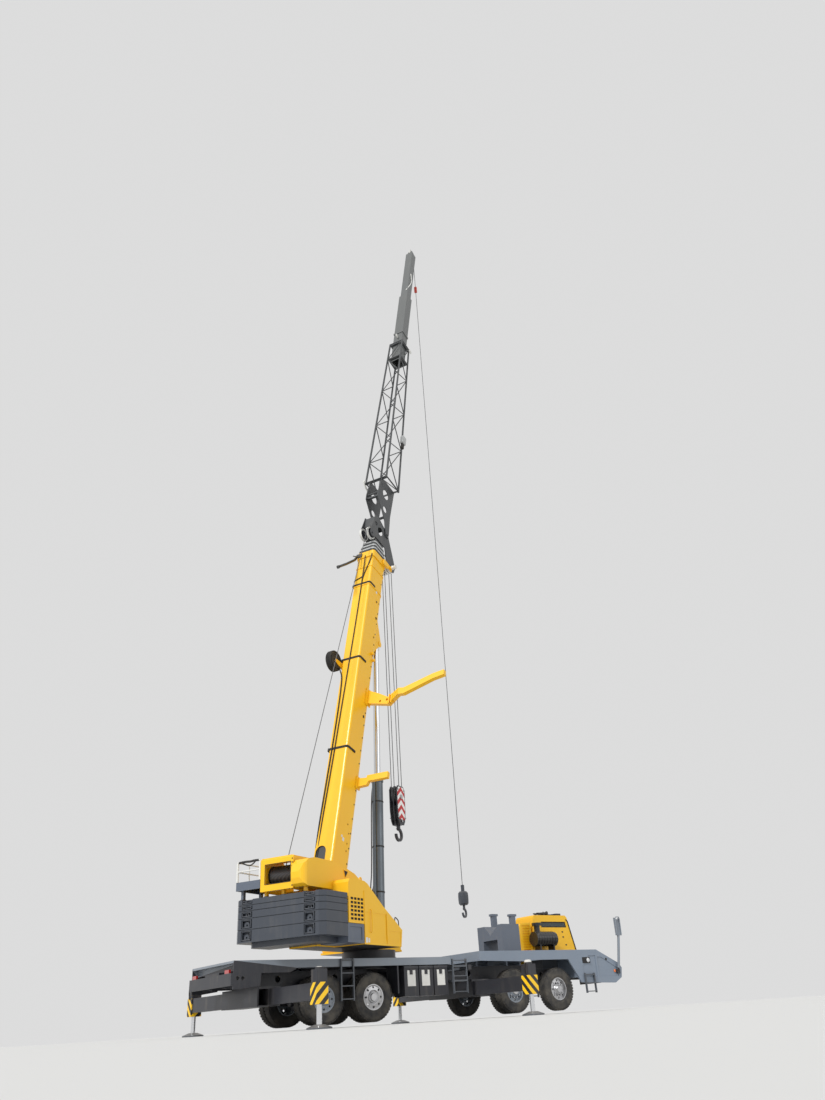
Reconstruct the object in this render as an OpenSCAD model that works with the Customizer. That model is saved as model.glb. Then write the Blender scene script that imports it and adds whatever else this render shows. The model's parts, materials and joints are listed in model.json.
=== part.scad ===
// Truck-mounted telescopic crane with a lattice jib, standing on its outriggers.
// Millimetres. X runs to the carrier's nose, Y to its left side, Z up from the ground.
// The upper works are modelled along their own X, then slewed about the ring's centre.

/* [Stance] */
// Angle of the upper works to the left of the carrier's nose
slew_angle = 26.88; // [0:0.5:90]
// Angle of the boom above level
boom_angle = 75.19; // [40:0.5:80]
// Angle of the jib back from the boom's line
jib_angle = 0.8; // [0:0.1:3]
// Running clearance round pins and between sliding faces
fit_gap = 0.3; // [0.1:0.05:0.5]

/* [Carrier] */
// Nose of the carrier ahead of the ring's centre
front_x = 8300; // [8000:10:8600]
// Tail of the carrier from the ring's centre
rear_x = -4500; // [-4800:10:-4300]
// Half of the carrier's width
half_width = 1280; // [1250:5:1350]
// Half of the main frame's width
frame_half = 430; // [400:5:450]
// Underside of the main frame
frame_low = 950; // [900:5:960]
// Top of the main frame
frame_top = 1300; // [1250:5:1320]
// Wall of the frame's webs and top plate
frame_wall = 25; // [15:1:40]
// Walking surface of the rear deck
deck_top = 1500; // [1450:5:1520]
// Walking surface of the front deck
nose_top = 1630; // [1600:5:1650]
// Thickness of the deck panels
deck_wall = 50; // [30:1:80]
// Height of the mudguards' step beside the nose
cowl_low = 760; // [720:5:800]

/* [Wheels] */
// Tyre radius
tyre_r = 545; // [520:1:560]
// Tyre width
tyre_w = 290; // [260:1:300]
// Height of the wheel centres, with the tyres lifted clear of the ground
axle_z = 620; // [600:1:640]
// Rim radius
rim_r = 290; // [270:1:305]
// Radius of the wheel's bore on its spindle
spindle_r = 60; // [50:1:70]
// Distance of the steering pin from the middle
kingpin_y = 830; // [810:1:850]

/* [Outriggers] */
// Distance of each jack from the middle
jack_y = 3250; // [3100:10:3400]
// Width of an outrigger beam
beam_w = 240; // [200:5:260]
// Height of an outrigger beam
beam_h = 340; // [300:5:350]
// Underside of the outrigger beams
beam_low = 560; // [540:5:570]
// Length of an outrigger beam
beam_len = 2350; // [2300:10:2400]
// Wall of the box round the beams
box_wall = 25; // [15:1:30]
// Half width of the box round the beams
box_half = 1040; // [1000:5:1060]
// Radius of a ground float
float_r = 280; // [240:5:300]
// Thickness of a ground float
float_t = 60; // [40:1:80]
// Radius of a jack's rod
jack_rod_r = 60; // [45:1:70]
// Top of the jack's case
jack_top = 1200; // [1150:5:1250]

/* [Upper works] */
// Radius of the slewing ring
ring_r = 720; // [680:5:760]
// Seat of the slewing ring above the ground
ring_z = 1560; // [1540:5:1600]
// Underside of the turntable plate
table_z = 1745; // [1730:1:1760]
// Thickness of the turntable plate
table_t = 50; // [30:1:60]
// Inner face of the turntable's side plates
cheek_in = 372; // [365:1:380]
// Thickness of the turntable's side plates
cheek_t = 35; // [20:1:45]
// Boom pivot behind the ring's centre
pivot_x = -1980; // [-2000:5:-1950]
// Boom pivot above the ground
pivot_z = 3000; // [2980:5:3020]
// Radius of the boom's pivot pin
pivot_r = 75; // [60:1:90]
// Lift cylinder's foot ahead of the ring's centre
foot_x = 600; // [560:5:640]
// Lift cylinder's foot above the ground
foot_z = 2200; // [2180:5:2240]
// Half width of the counterweight
cw_half = 1308; // [1280:2:1330]
// Rear face of the counterweight
cw_rear = -4062; // [-4100:2:-4000]
// Front face of the counterweight
cw_front = -3030; // [-3050:2:-3010]
// Underside of the counterweight
cw_low = 1895; // [1880:1:1910]
// Height of the groove at each joint between the weight's slabs
groove = 16; // [8:1:24]
// Play between the weight's slabs
seam = 0.5; // [0.3:0.1:1]

/* [Boom] */
// Width of the base section
boom_w = 631; // [610:1:650]
// Height of the base section
boom_h = 853; // [830:1:870]
// Wall of the boom sections
boom_wall = 14; // [10:1:18]
// Length of the base section from its pivot
base_len = 11600; // [11000:50:12000]
// How far each section's end stands past the one outside it
step_out = 180; // [150:5:200]
// Loss of width from one section to the next
step_w = 56; // [50:1:60]
// Loss of height from one section to the next
step_h = 70; // [60:1:76]
// Lift cylinder's upper pin along the boom
pin_s = 8500; // [8300:10:8600]
// Lift cylinder's upper pin below the boom's centreline
pin_drop = 800; // [780:5:820]
// Radius of the lift cylinder's barrel
barrel_r = 165; // [150:1:175]
// Length of the lift cylinder's barrel from its foot pin
barrel_len = 4400; // [4200:10:4600]
// Radius of the lift cylinder's rod
rod_r = 100; // [85:1:110]
// Half width of the cylinder's eyes
eye_half = 80; // [70:1:90]
// Radius of the cylinder's upper eye
eye_r = 140; // [130:1:150]

/* [Head and jib] */
// Flange radius of the boom head's sheaves
sheave_r = 250; // [240:1:260]
// Groove radius of the boom head's sheaves
groove_r = 225; // [215:1:230]
// Load rope radius
rope_r = 11; // [8:1:14]
// Hoist sheave centre past the end of the base section
hoist_out = 340; // [320:5:400]
// Hoist sheave centre below the boom's centreline
hoist_drop = 909; // [890:1:930]
// Height of the hook block's top above the ground
block_top = 6520; // [6000:10:7000]
// Jib hinge past the end of the base section
jib_out = 1350; // [1300:10:1400]
// Jib hinge below the boom's centreline
jib_drop = 330; // [310:5:350]
// Start of the lattice from the jib's hinge
lattice_s = 2290; // [2200:10:2400]
// Length of the lattice
lattice_len = 8840; // [8600:10:9000]
// Depth of the lattice at its foot
lattice_foot = 900; // [860:5:940]
// Depth of the lattice at its top
lattice_head = 600; // [580:5:640]
// Number of bays in the lattice
bays = 8; // [6:1:10]
// Width of the jib's tube
tube_w = 430; // [400:5:440]
// Width of the jib's slender end
tip_w = 350; // [320:5:360]
// Tip sheave centre from the jib's hinge
tip_s = 19060; // [18800:10:19300]
// Flange radius of the tip sheave
tip_r = 200; // [180:2:220]
// Middle of the weighted hook above the ground
ball_z = 3560; // [3400:10:4200]

/* [Hidden] */
$fn = 48;

// Colours as the photograph shows them
yellow = [0.86, 0.62, 0.05];
slate = [0.27, 0.30, 0.33];
pale = [0.62, 0.62, 0.58];
mid = [0.42, 0.43, 0.43];
dark = [0.13, 0.14, 0.15];
steel = [0.75, 0.76, 0.78];
rubber = [0.06, 0.06, 0.06];
white = [0.85, 0.85, 0.82];

// Shift that puts the middle of the footprint at the origin
shift_x = -(front_x + rear_x) / 2;

// Placing
module carrier() { translate([shift_x, 0, 0]) children(); }
module upper() { translate([shift_x, 0, 0]) rotate([0, 0, slew_angle]) children(); }
module boom() { upper() translate([pivot_x, 0, pivot_z]) rotate([0, -boom_angle, 0]) children(); }
module jib() { boom() translate([jib_s, 0, -jib_drop]) rotate([0, -jib_angle, 0]) children(); }

// Plain shapes
module slab(x0, x1, y0, y1, z0, z1) { translate([x0, y0, z0]) cube([x1 - x0, y1 - y0, z1 - z0]); }
module side_cut(points, y0, y1) {
    translate([0, y1, 0]) rotate([90, 0, 0]) linear_extrude(y1 - y0) polygon(points);
}
module cross_cut(points, x0, x1) {
    translate([x0, 0, 0]) rotate([90, 0, 90]) linear_extrude(x1 - x0) polygon(points);
}
module plan_cut(points, z0, z1) { translate([0, 0, z0]) linear_extrude(z1 - z0) polygon(points); }
module rod_y(x, z, r, y0, y1) { translate([x, y1, z]) rotate([90, 0, 0]) cylinder(r = r, h = y1 - y0); }
module rod_x(y, z, r, x0, x1) { translate([x0, y, z]) rotate([0, 90, 0]) cylinder(r = r, h = x1 - x0); }
module rod_z(x, y, r, z0, z1) { translate([x, y, z0]) cylinder(r = r, h = z1 - z0); }
// Straight tube from point p to point q
module strut(p, q, r, sides = 8) {
    d = q - p;
    translate(p) rotate([0, acos(d.z / norm(d)), atan2(d.y, d.x)]) cylinder(r = r, h = norm(d), $fn = sides);
}
module chain(points, r) {
    for (i = [0 : len(points) - 2]) strut(points[i], points[i + 1], r);
}
// Points of an arc from angle a0 to a1
function arc(x, y, r, a0, a1, n) = [for (i = [0 : n]) [x + r * cos(a0 + (a1 - a0) * i / n),
    y + r * sin(a0 + (a1 - a0) * i / n)]];
// Closed outline of a boom section: folded in steps round the bottom, rounder than on top
function section_outline(w, h, grow = 0) = let(low = low_round + grow, top = top_round + grow) concat(
    arc(-w / 2 + low, -h / 2 + low, low, 180, 270, 5), arc(w / 2 - low, -h / 2 + low, low, 270, 360, 5),
    arc(w / 2 - top, h / 2 - top, top, 0, 90, 3), arc(-w / 2 + top, h / 2 - top, top, 90, 180, 3));
// The same outline moved outwards by grow
function grown(w, h, grow) = section_outline(w + 2 * grow, h + 2 * grow, grow);
module section_shell(w, h, wall, s0, s1) {
    difference() {
        cross_cut(section_outline(w, h), s0, s1);
        cross_cut(grown(w, h, -wall), s0 - 1, s1 + 1);
    }
}
module collar(w, h, reach, s0, s1) {
    difference() {
        cross_cut(grown(w, h, reach), s0, s1);
        cross_cut(grown(w, h, -1), s0 - 1, s1 + 1);
    }
}
// Grooved sheave on a bore
module sheave(r, groove, bore, half) {
    rotate([90, 0, 0]) rotate_extrude() polygon([
        [bore, -half], [bore + 55, -half], [bore + 60, -half * 0.45], [groove - 30, -half * 0.45],
        [r - 8, -half], [r, -half], [r, -half * 0.8], [groove, -half * 0.28], [groove, half * 0.28],
        [r, half * 0.8], [r, half], [r - 8, half], [groove - 30, half * 0.45],
        [bore + 60, half * 0.45], [bore + 55, half], [bore, half]]);
}

// Places along the carrier
frame_end = front_x - 215;
eye_z = 805;
nose_low = [front_x - 120, 860];
nose_mid = [front_x - 60, 1120];
nose_high = [front_x - 150, 1240];
nose_bend = 7250;
function nose_at(z) = nose_low.x + (nose_mid.x - nose_low.x) * (z - nose_low.y) / (nose_mid.y - nose_low.y);
axles = [5580, 3950, -660, -2060];
deck_split = 1770;
nose_start = 2770;
cab_in = frame_half + 5;
cab_rear = 6290;
jack_x_front = [3060, 2780];
jack_x_rear = [-3560, -3280];
beam_top = beam_low + beam_h;
hoist_s = base_len + hoist_out;
jib_s = base_len + jib_out;
low_round = 170;
top_round = 55;

// Main frame: an inverted trough with cross members, dropped under the nose
module chassis_frame() {
    outer = [[rear_x + 60, 1010], [rear_x + 260, frame_low], [4700, frame_low], [5250, 900],
        [frame_end, 900], [frame_end, 1180], [5350, 1180], [4900, frame_top], [rear_x + 60, frame_top]];
    color(mid) carrier() {
        difference() {
            union() {
                side_cut(outer, -frame_half, frame_half);
                slab(rear_x, rear_x + 60, -half_width, half_width, 980, 1240);
                rod_z(0, 0, ring_r + 30, frame_top - 1, ring_z);
            }
            for (bay = [[rear_x + 90, -3700], [-3640, -2300], [-2240, -900], [-840, 900], [960, 2400],
                        [2460, 3500], [3560, 4800]])
                slab(bay[0], bay[1], -frame_half + frame_wall, frame_half - frame_wall,
                    frame_low - 60, frame_top - frame_wall);
            for (bay = [[4860, 6100], [6160, frame_end - 45]])
                slab(bay[0], bay[1], -frame_half + frame_wall, frame_half - frame_wall, 850, 1180 - frame_wall);
            for (x = [-4050, -2900, -1300, 400, 1700, 3000, 4400])
                rod_y(x, (frame_low + frame_top) / 2, 75, -frame_half - 1, frame_half + 1);
            for (x = [5700, 6800, 7500])
                rod_y(x, 1040, 65, -frame_half - 1, frame_half + 1);
            rod_z(0, 0, ring_r - 170, frame_top - 200, ring_z + 1);
        }
        // Towing eyes under the nose panel
        slab(frame_end - 30, frame_end, -frame_half, frame_half, 755, 901);
        for (side = [-1, 1])
            difference() {
                side_cut([[frame_end - 1, 760], [frame_end + 130, 760], [frame_end + 165, 800], [frame_end + 140, 850],
                    [frame_end - 1, 850]], side * 330 - 30, side * 330 + 30);
                rod_y(frame_end + 105, eye_z, 28, side * 330 - 31, side * 330 + 31);
            }
    }
}

// Crosswise boxes with one channel for each beam
module outrigger_box(xs) {
    low = min(xs) - beam_w / 2 - box_wall - 10;
    high = max(xs) + beam_w / 2 + box_wall + 10;
    difference() {
        slab(low, high, -box_half, box_half, beam_low - box_wall - fit_gap, frame_low);
        for (x = xs)
            slab(x - beam_w / 2 - fit_gap, x + beam_w / 2 + fit_gap, -box_half - 1, box_half + 1,
                beam_low - fit_gap, beam_top + fit_gap);
    }
}
module outrigger_boxes() {
    color(dark) carrier() {
        outrigger_box(jack_x_front);
        outrigger_box(jack_x_rear);
    }
}

// Rear deck with a body side that steps over the wheels
module rear_deck() {
    skirt = [[rear_x + 60, 900], [rear_x + 60, 1400], [-2800, 1400], [-2800, 1330], [-2840, 1290],
        [-3000, 1225], [-3740, 1225], [-3760, 960], [-4250, 900]];
    color(pale) carrier() {
        difference() {
            union() {
                slab(rear_x + 60, deck_split, -half_width, half_width, deck_top - deck_wall, deck_top);
                for (side = [-1, 1]) {
                    side_cut(skirt, side > 0 ? half_width - 40 : -half_width, side > 0 ? half_width : -half_width + 40);
                    slab(-2840, deck_split, side > 0 ? half_width - 40 : -half_width,
                        side > 0 ? half_width : -half_width + 40, 1320, deck_top - deck_wall);
                    slab(-4440, -2830, side > 0 ? half_width - 40 : -half_width,
                        side > 0 ? half_width : -half_width + 40, 1370, deck_top - deck_wall);
                }
                for (x = [-4300, -3300, -2760, -1360, 55, 460, 1000, 1400, deck_split - 60])
                    slab(x, x + 60, -half_width + 40, half_width - 40, frame_top, deck_top - deck_wall);
            }
            rod_z(0, 0, ring_r + 31, frame_top - 10, deck_top + 10);
            for (x = [-4330, -4200])
                for (side = [-1, 1])
                    rod_y(x, 1130, 45, side > 0 ? half_width - 60 : -half_width - 1,
                        side > 0 ? half_width + 1 : -half_width + 60);
        }
        for (side = [-1, 1])
            difference() {
                slab(60, 100, side > 0 ? 770 : -half_width, side > 0 ? half_width : -770, 680, frame_top + 30);
                slab(59, 101, side > 0 ? 650 : -900, side > 0 ? 900 : -650, 600, 900);
            }
    }
}

// Front deck and the bodywork round the nose
module front_cowl() {
    panel = [[6410, 900], [6500, cowl_low], [7900, cowl_low - 40], nose_low, nose_mid, nose_high,
        [nose_bend, nose_top], [nose_start, nose_top], [nose_start, 1390], [4400, 1350], [4980, 1380], [6070, 1380]];
    color(pale) carrier() {
        difference() {
            union() {
                for (side = [-1, 1])
                    side_cut(panel, side > 0 ? half_width - 50 : -half_width, side > 0 ? half_width : -half_width + 50);
                side_cut([[nose_start, nose_top - deck_wall], [nose_start, nose_top], [nose_bend, nose_top], nose_high,
                    nose_high - [0, deck_wall], [nose_bend, nose_top - deck_wall]], -half_width, half_width);
                slab(nose_start, nose_start + 50, -half_width, half_width, 1390, nose_top);
                side_cut([nose_low - [60, -40], nose_low, nose_mid, nose_high, nose_high - [60, 10],
                    nose_mid - [60, 0]], -half_width, half_width);
                for (x = [3300, 4400, 4900])
                    slab(x, x + 60, -frame_half, frame_half, frame_top, nose_top - deck_wall);
                slab(6410, 6460, -half_width, -frame_half, 900, nose_top - deck_wall);
                slab(6410, 6460, frame_half, half_width, 900, nose_top - deck_wall);
            }
            // Opening under the cab, which reaches below the deck
            slab(cab_rear - 10, 8400, cab_in - 10, half_width + 1, 700, nose_top + 1);
            // Recessed panels on the right side
            side_cut([[6620, 900], [7180, 900], [7180, 1470], [6900, 1470], [6620, 1200]], -half_width - 1, -half_width + 15);
            side_cut([[7250, 900], [8060, 900], [8060, 1110], [7420, 1430], [7250, 1430]], -half_width - 1, -half_width + 15);
            slab(8000, 8400, -900, -700, 990, 1100);
        }
    }
}

// Ladders and steps, as one frame for each
module ladder(x, y, z0, z1, wide, rungs) {
    for (side = [0, 1])
        slab(x + side * (wide - 30), x + side * (wide - 30) + 30, y, y + 60, z0, z1);
    for (i = [0 : rungs - 1])
        slab(x, x + wide, y, y + 60, z0 + 40 + i * (z1 - z0 - 80) / (rungs - 1) - 12,
            z0 + 40 + i * (z1 - z0 - 80) / (rungs - 1) + 12);
}
module access_steps() {
    color(mid) carrier() {
        for (side = [-1, 1]) {
            y = side > 0 ? half_width : -half_width - 60;
            ladder(-1630, y, 560, deck_top, 380, 4);
            ladder(1840, side > 0 ? 1020 : -half_width, 620, 1390 + 60, 480, 3);
        }
        for (z = [900, 1250])
            slab(1840, 2320, -half_width, -1000, z, z + 40);
        for (side = [-1, 1])
            for (x = [1840, 2290])
                slab(x, x + 30, side > 0 ? frame_half : -half_width, side > 0 ? 1080 : -frame_half, 1190, 1250);
        ladder(6620, -half_width - 60, 480, 1000, 400, 3);
        ladder(6560, half_width, 480, 1000, 500, 3);
    }
}

// Lockers on the right, tank on the left
module side_boxes() {
    color(dark) carrier() {
        for (x = [280, 750, 1220])
            slab(x, x + 440, -half_width + 20, -760, 600, frame_top);
        translate([1000, 970, 970]) rotate([0, 90, 0]) translate([0, 0, -700]) cylinder(r = 300, h = 1400);
        for (x = [500, 1400])
            slab(x, x + 60, frame_half, 1250, 1240, frame_top - 2);
        slab(2370, 2490, -1250, -frame_half, 1180, frame_top);
    }
}

module engine_block() {
    color(mid) carrier() slab(5900, 7200, -330, 330, 1180.3, 1520);
}

// One-man cab on the left of the nose
cab_side = [[cab_rear, 980], [8080, 980], [8230, 1310], [8130, 1720], [7850, 2720], [7780, 2780],
    [cab_rear + 160, 2780], [cab_rear + 120, 2720], [cab_rear, 1700]];
cab_hollow = [[cab_rear + 70, 1050], [8020, 1050], [8160, 1310], [8060, 1700], [7790, 2690],
    [cab_rear + 190, 2710], [cab_rear + 70, 1720]];
module carrier_cab() {
    color(yellow) carrier() {
        difference() {
            side_cut(cab_side, cab_in, half_width);
            side_cut(cab_hollow, cab_in + 60, half_width - 60);
            // Doorway on the left side
            side_cut([[6550, 1100], [7560, 1100], [7560, 2640], [6620, 2640]], half_width - 70, half_width + 1);
            // Windscreen and front window
            side_cut([[8300, 1760], [8300, 2700], [7700, 2640], [7920, 1760]], cab_in + 90, half_width - 90);
            // Slit window in the right wall
            side_cut([[6710, 2420], [7800, 2420], [7760, 2590], [6720, 2590]], cab_in - 1, cab_in + 70);
            // Rear window
            slab(cab_rear - 10, cab_rear + 300, cab_in + 160, half_width - 160, 1900, 2560);
        }
        // Door hinges: leaf and pin on the cab
        for (z = door_hinges) {
            rod_z(hinge_x, half_width + 18, 9, z, z + 110);
            slab(hinge_x, hinge_x + 50, half_width, half_width + 26, z, z + 40);
        }
    }
}
hinge_x = 7556;
door_hinges = [1350, 2250];
module cab_door() {
    gap = 8;
    color(yellow) carrier() for (z = door_hinges)
        difference() {
            union() {
                rod_z(hinge_x, half_width + 18, 17, z + 40 + fit_gap, z + 110);
                slab(hinge_x - 60, hinge_x, half_width + 1, half_width + 14, z + 40 + fit_gap, z + 110);
                slab(hinge_x - 60, 7560 - gap - 1, half_width - 1, half_width + 2, z + 40 + fit_gap, z + 110);
            }
            rod_z(hinge_x, half_width + 18, 9 + fit_gap, z, z + 111);
        }
    color(yellow) carrier() difference() {
        side_cut([[6550 + gap, 1100 + gap], [7560 - gap, 1100 + gap], [7560 - gap, 2640 - gap],
            [6620 + gap, 2640 - gap]], half_width - 50, half_width);
        side_cut([[6680, 1750], [7470, 1750], [7470, 2560], [6720, 2560]], half_width - 51, half_width + 1);
        slab(6600, 6760, half_width - 15, half_width + 1, 1560, 1610);
    }
}
module cab_interior() {
    color(dark) carrier() {
        slab(6700, 7150, 620, 1080, 1050, 1420);
        slab(6700, 7180, 600, 1100, 1420, 1540);
        side_cut([[6700, 1540], [6820, 1540], [6700, 2180], [6600, 2180]], 610, 1090);
        side_cut([[7700, 1050], [7980, 1050], [8060, 1500], [7900, 1760], [7720, 1700]], 500, 1200);
        strut([7720, 850, 1500], [7480, 850, 1640], 25);
        translate([7480, 850, 1640]) rotate([0, -60, 0]) rotate_extrude() translate([200, 0]) circle(r = 16);
        translate([7480, 850, 1640]) rotate([0, -60, 0]) for (a = [0, 120, 240])
            rotate([0, 0, a]) translate([0, -10, -6]) cube([200, 20, 12]);
    }
}
// Round ribbed air cleaner beside the cab, and the louvred intake box behind the cab
module air_cleaner() {
    color(yellow) carrier() difference() {
        side_cut([[5650, nose_top], [cab_rear - 30, nose_top], [cab_rear - 30, 2560], [5850, 2520], [5650, 2300]],
            cab_in, half_width - 60);
        for (i = [0 : 9]) {
            slab(5900, 6200, cab_in - 1, cab_in + 25, 1760 + i * 75, 1800 + i * 75);
            slab(5649, 5675, cab_in + 60, half_width - 120, 1680 + i * 60, 1710 + i * 60);
        }
    }
    color(dark) carrier() {
        difference() {
            union() {
                rod_x(190, 2060, 205, 6120, 6960);
                for (i = [0 : 6])
                    rod_x(190, 2060, 215, 6180 + i * 110, 6220 + i * 110);
                rod_z(6300, 190, 90, 2200, 2430);
                rod_z(6300, 190, 150, 2430, 2520);
            }
            rod_x(190, 2060, 60, 6900, 6961);
        }
        for (x = [6250, 6800])
            slab(x, x + 50, 60, 320, nose_top, 1920);
        // Intake pipe
        rod_y(6640, 2060, 70, 370, 434.7);
    }
}
// Cradle for the lowered boom
module boom_rest() {
    color(slate) carrier() {
        difference() {
            slab(4140, 4800, -700, 450, nose_top, 2390);
            slab(4139, 4801, -450, 200, 1700, 1990);
            cross_cut([[-580, 2420], [-150, 2120], [130, 2400]], 4139, 4801);
        }
        for (post = [[-680, 2660], [180, 2760]]) {
            slab(4560, 4720, post[0], post[0] + 120, 2389, post[1]);
            slab(4520, 4760, post[0] - 10, post[0] + 130, post[1] - 60, post[1]);
        }
    }
}

// Dead and driven axle beams
module axle_beams() {
    color(dark) carrier() for (i = [0 : 3]) {
        x = axles[i];
        steer = i < 2;
        difference() {
            union() {
                slab(x - 60, x + 60, steer ? -760 : -600, steer ? 760 : 600, axle_z - 70, axle_z + 70);
                if (!steer) {
                    translate([x, 0, axle_z]) rotate([90, 0, 0]) cylinder(r = 230, h = 260, center = true);
                    rod_x(0, axle_z, 110, x - 300, x + 300);
                    for (side = [-1, 1])
                        rod_y(x, axle_z, spindle_r - fit_gap, side > 0 ? 600 : -half_width + 20, side > 0 ? half_width - 20 : -600);
                }
                for (side = [-1, 1])
                    slab(x - 50, x + 50, side * 380 - 40, side * 380 + 40, axle_z + 70, i == 0 ? 900 : frame_low);
                if (steer)
                    for (side = [-1, 1])
                        for (z = [axle_z - 110, axle_z + 40 + fit_gap]) {
                            slab(x - 60, x + 60, side > 0 ? 700 : -kingpin_y, side > 0 ? kingpin_y : -700, z, z + 70);
                            rod_z(x, side * kingpin_y, 60, z, z + 70);
                        }
            }
            if (steer)
                for (side = [-1, 1]) {
                    rod_z(x, side * kingpin_y, 30 + fit_gap, axle_z - 200, axle_z + 200);
                    slab(x - 61, x + 61, side > 0 ? 761 : -kingpin_y - 61, side > 0 ? kingpin_y + 61 : -761,
                        axle_z - 40, axle_z + 40 + fit_gap);
                }
        }
    }
}

// Steering knuckle with its pin and spindle
module knuckle(i, side) {
    x = axles[i];
    color(dark) carrier() {
        rod_z(x, side * kingpin_y, 30, axle_z - 130, axle_z + 130);
        rod_z(x, side * kingpin_y, 58, axle_z - 40 + fit_gap, axle_z + 40);
        slab(x - 50, x + 50, side > 0 ? kingpin_y : -kingpin_y - 66, side > 0 ? kingpin_y + 66 : -kingpin_y,
            axle_z - 40 + fit_gap, axle_z + 40);
        rod_y(x, axle_z, spindle_r - fit_gap, side > 0 ? kingpin_y + 63 : -half_width + 20,
            side > 0 ? half_width - 20 : -kingpin_y - 63);
    }
}
// Outer half of a wheel at lateral place y, the dish opening outwards
module tyre(y, w) {
    translate([0, y, 0]) rotate([90, 0, 0]) rotate_extrude($fn = 64) polygon([
        [rim_r, -w / 2 + 25], [rim_r + 60, -w / 2], [tyre_r - 55, -w / 2 + 6], [tyre_r - 12, -w / 2 + 28],
        [tyre_r, -w / 2 + 60], [tyre_r, w / 2 - 60], [tyre_r - 12, w / 2 - 28], [tyre_r - 55, w / 2 - 6],
        [rim_r + 60, w / 2], [rim_r, w / 2 - 25]]);
}
module rim(side, dual) {
    bore = spindle_r;
    out = tyre_w / 2 - 25;
    rotate([side > 0 ? -90 : 90, 0, 0]) difference() {
        rotate_extrude($fn = 64) polygon([
            [bore, -70], [130, -70], [150, dual ? out - 30 : 40], [245, dual ? out - 45 : 30],
            [rim_r - 22, dual ? out - 30 : -60], [rim_r - 22, -out], [rim_r, -out], [rim_r, out],
            [rim_r - 22, out], [rim_r - 30, dual ? out - 5 : 60], [245, dual ? out - 15 : 62],
            [165, dual ? out : 72], [140, 105], [120, 125], [bore + 4, 125], [bore, 110]]);
        for (a = [0 : 45 : 315])
            rotate([0, 0, a]) translate([218, 0, -200]) cylinder(r = 26, h = 400);
    }
}
module wheel(i, side) {
    x = axles[i];
    y_out = half_width - tyre_w / 2;
    color(rubber) carrier() translate([x, 0, axle_z]) {
        tyre(side * y_out, tyre_w);
        if (i > 1) tyre(side * (y_out - tyre_w - 30), tyre_w);
        translate([0, side * y_out, 0]) rim(side, i > 1);
        if (i > 1)
            rotate([90, 0, 0]) rotate_extrude($fn = 64) translate([0, side > 0 ? -(y_out - tyre_w / 2 + 25) : 0])
                polygon([[rim_r - 22, side > 0 ? 0 : (y_out - tyre_w / 2 + 25)], [rim_r, side > 0 ? 0 : (y_out - tyre_w / 2 + 25)],
                    [rim_r, side > 0 ? tyre_w + 30 : (y_out - 1.5 * tyre_w - 5)],
                    [rim_r - 22, side > 0 ? tyre_w + 30 : (y_out - 1.5 * tyre_w - 5)]]);
    }
}

// Outrigger beam with the case of its jack
module outrigger(xs, side) {
    x = side > 0 ? xs[0] : xs[1];
    inner = jack_y - 130 - beam_len;
    color(dark) carrier() mirror([0, side > 0 ? 0 : 1, 0]) {
        difference() {
            union() {
                slab(x - beam_w / 2, x + beam_w / 2, inner, jack_y - 130, beam_low, beam_top);
                slab(x - 130, x + 130, jack_y - 130, jack_y + 130, 470, jack_top - 40);
                slab(x - 145, x + 145, jack_y - 145, jack_y + 145, 470, 900);
                rod_z(x, jack_y, 95, jack_top - 40, jack_top);
            }
            slab(x - beam_w / 2 + 20, x + beam_w / 2 - 20, inner - 1, jack_y - 200, beam_low + 20, beam_top - 20);
            rod_z(x, jack_y, jack_rod_r + fit_gap, 400, jack_top - 60);
        }
    }
}
module jack(xs, side) {
    x = side > 0 ? xs[0] : xs[1];
    color(steel) carrier() {
        rod_z(x, side * jack_y, jack_rod_r, float_t, 640);
        rod_z(x, side * jack_y, float_r, 0, float_t * 0.5);
        translate([x, side * jack_y, float_t * 0.5]) cylinder(r1 = float_r, r2 = 110, h = float_t);
    }
}

// Turntable: ring, plate, side plates and the cylinder's foot
module turntable_frame() {
    cheek = [[cw_front, table_z], [cw_front, 2700], [-2750, 2900], [-2420, 3400], [-2140, 3570], [-1540, 3280],
        [-910, 2940], [200, 2480], [900, 2400], [1050, 2250], [1050, table_z]];
    color(yellow) upper() {
        difference() {
            union() {
                rod_z(0, 0, ring_r, ring_z + fit_gap, table_z);
                slab(cw_front, 1100, -cheek_in - cheek_t, cheek_in + cheek_t, table_z, table_z + table_t);
                slab(-400, 1100, cheek_in, 1290, table_z, table_z + table_t);
                for (side = [-1, 1]) {
                    y = side > 0 ? cheek_in : -cheek_in - cheek_t;
                    side_cut(cheek, y, y + cheek_t);
                }
                slab(cw_front, cw_front + 40, -cheek_in, cheek_in, table_z, 2450);
                side_cut([[-1250, table_z], [-1150, table_z], [-700, 2300], [-800, 2300]], -cheek_in, cheek_in);
            }
            rod_z(0, 0, 350, ring_z - 1, table_z + table_t + 1);
            for (hole = [[-2500, 2250, 130], [-1700, 2250, 150], [300, 2080, 90]])
                rod_y(hole[0], hole[1], hole[2], -cheek_in - cheek_t - 1, cheek_in + cheek_t + 1);
        }
        // Boom pivot pin and cylinder foot pin, with their bosses
        rod_y(pivot_x, pivot_z, pivot_r, -cheek_in - cheek_t - 23, cheek_in + cheek_t + 23);
        rod_y(foot_x, foot_z, 60, -cheek_in, cheek_in);
        for (side = [-1, 1]) {
            rod_y(pivot_x, pivot_z, 190, side > 0 ? cheek_in + cheek_t : -cheek_in - cheek_t - 20,
                side > 0 ? cheek_in + cheek_t + 20 : -cheek_in - cheek_t);
            rod_y(foot_x, foot_z, 110, side > 0 ? eye_half + 20 : -cheek_in, side > 0 ? cheek_in : -eye_half - 20);
        }
    }
}

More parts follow.
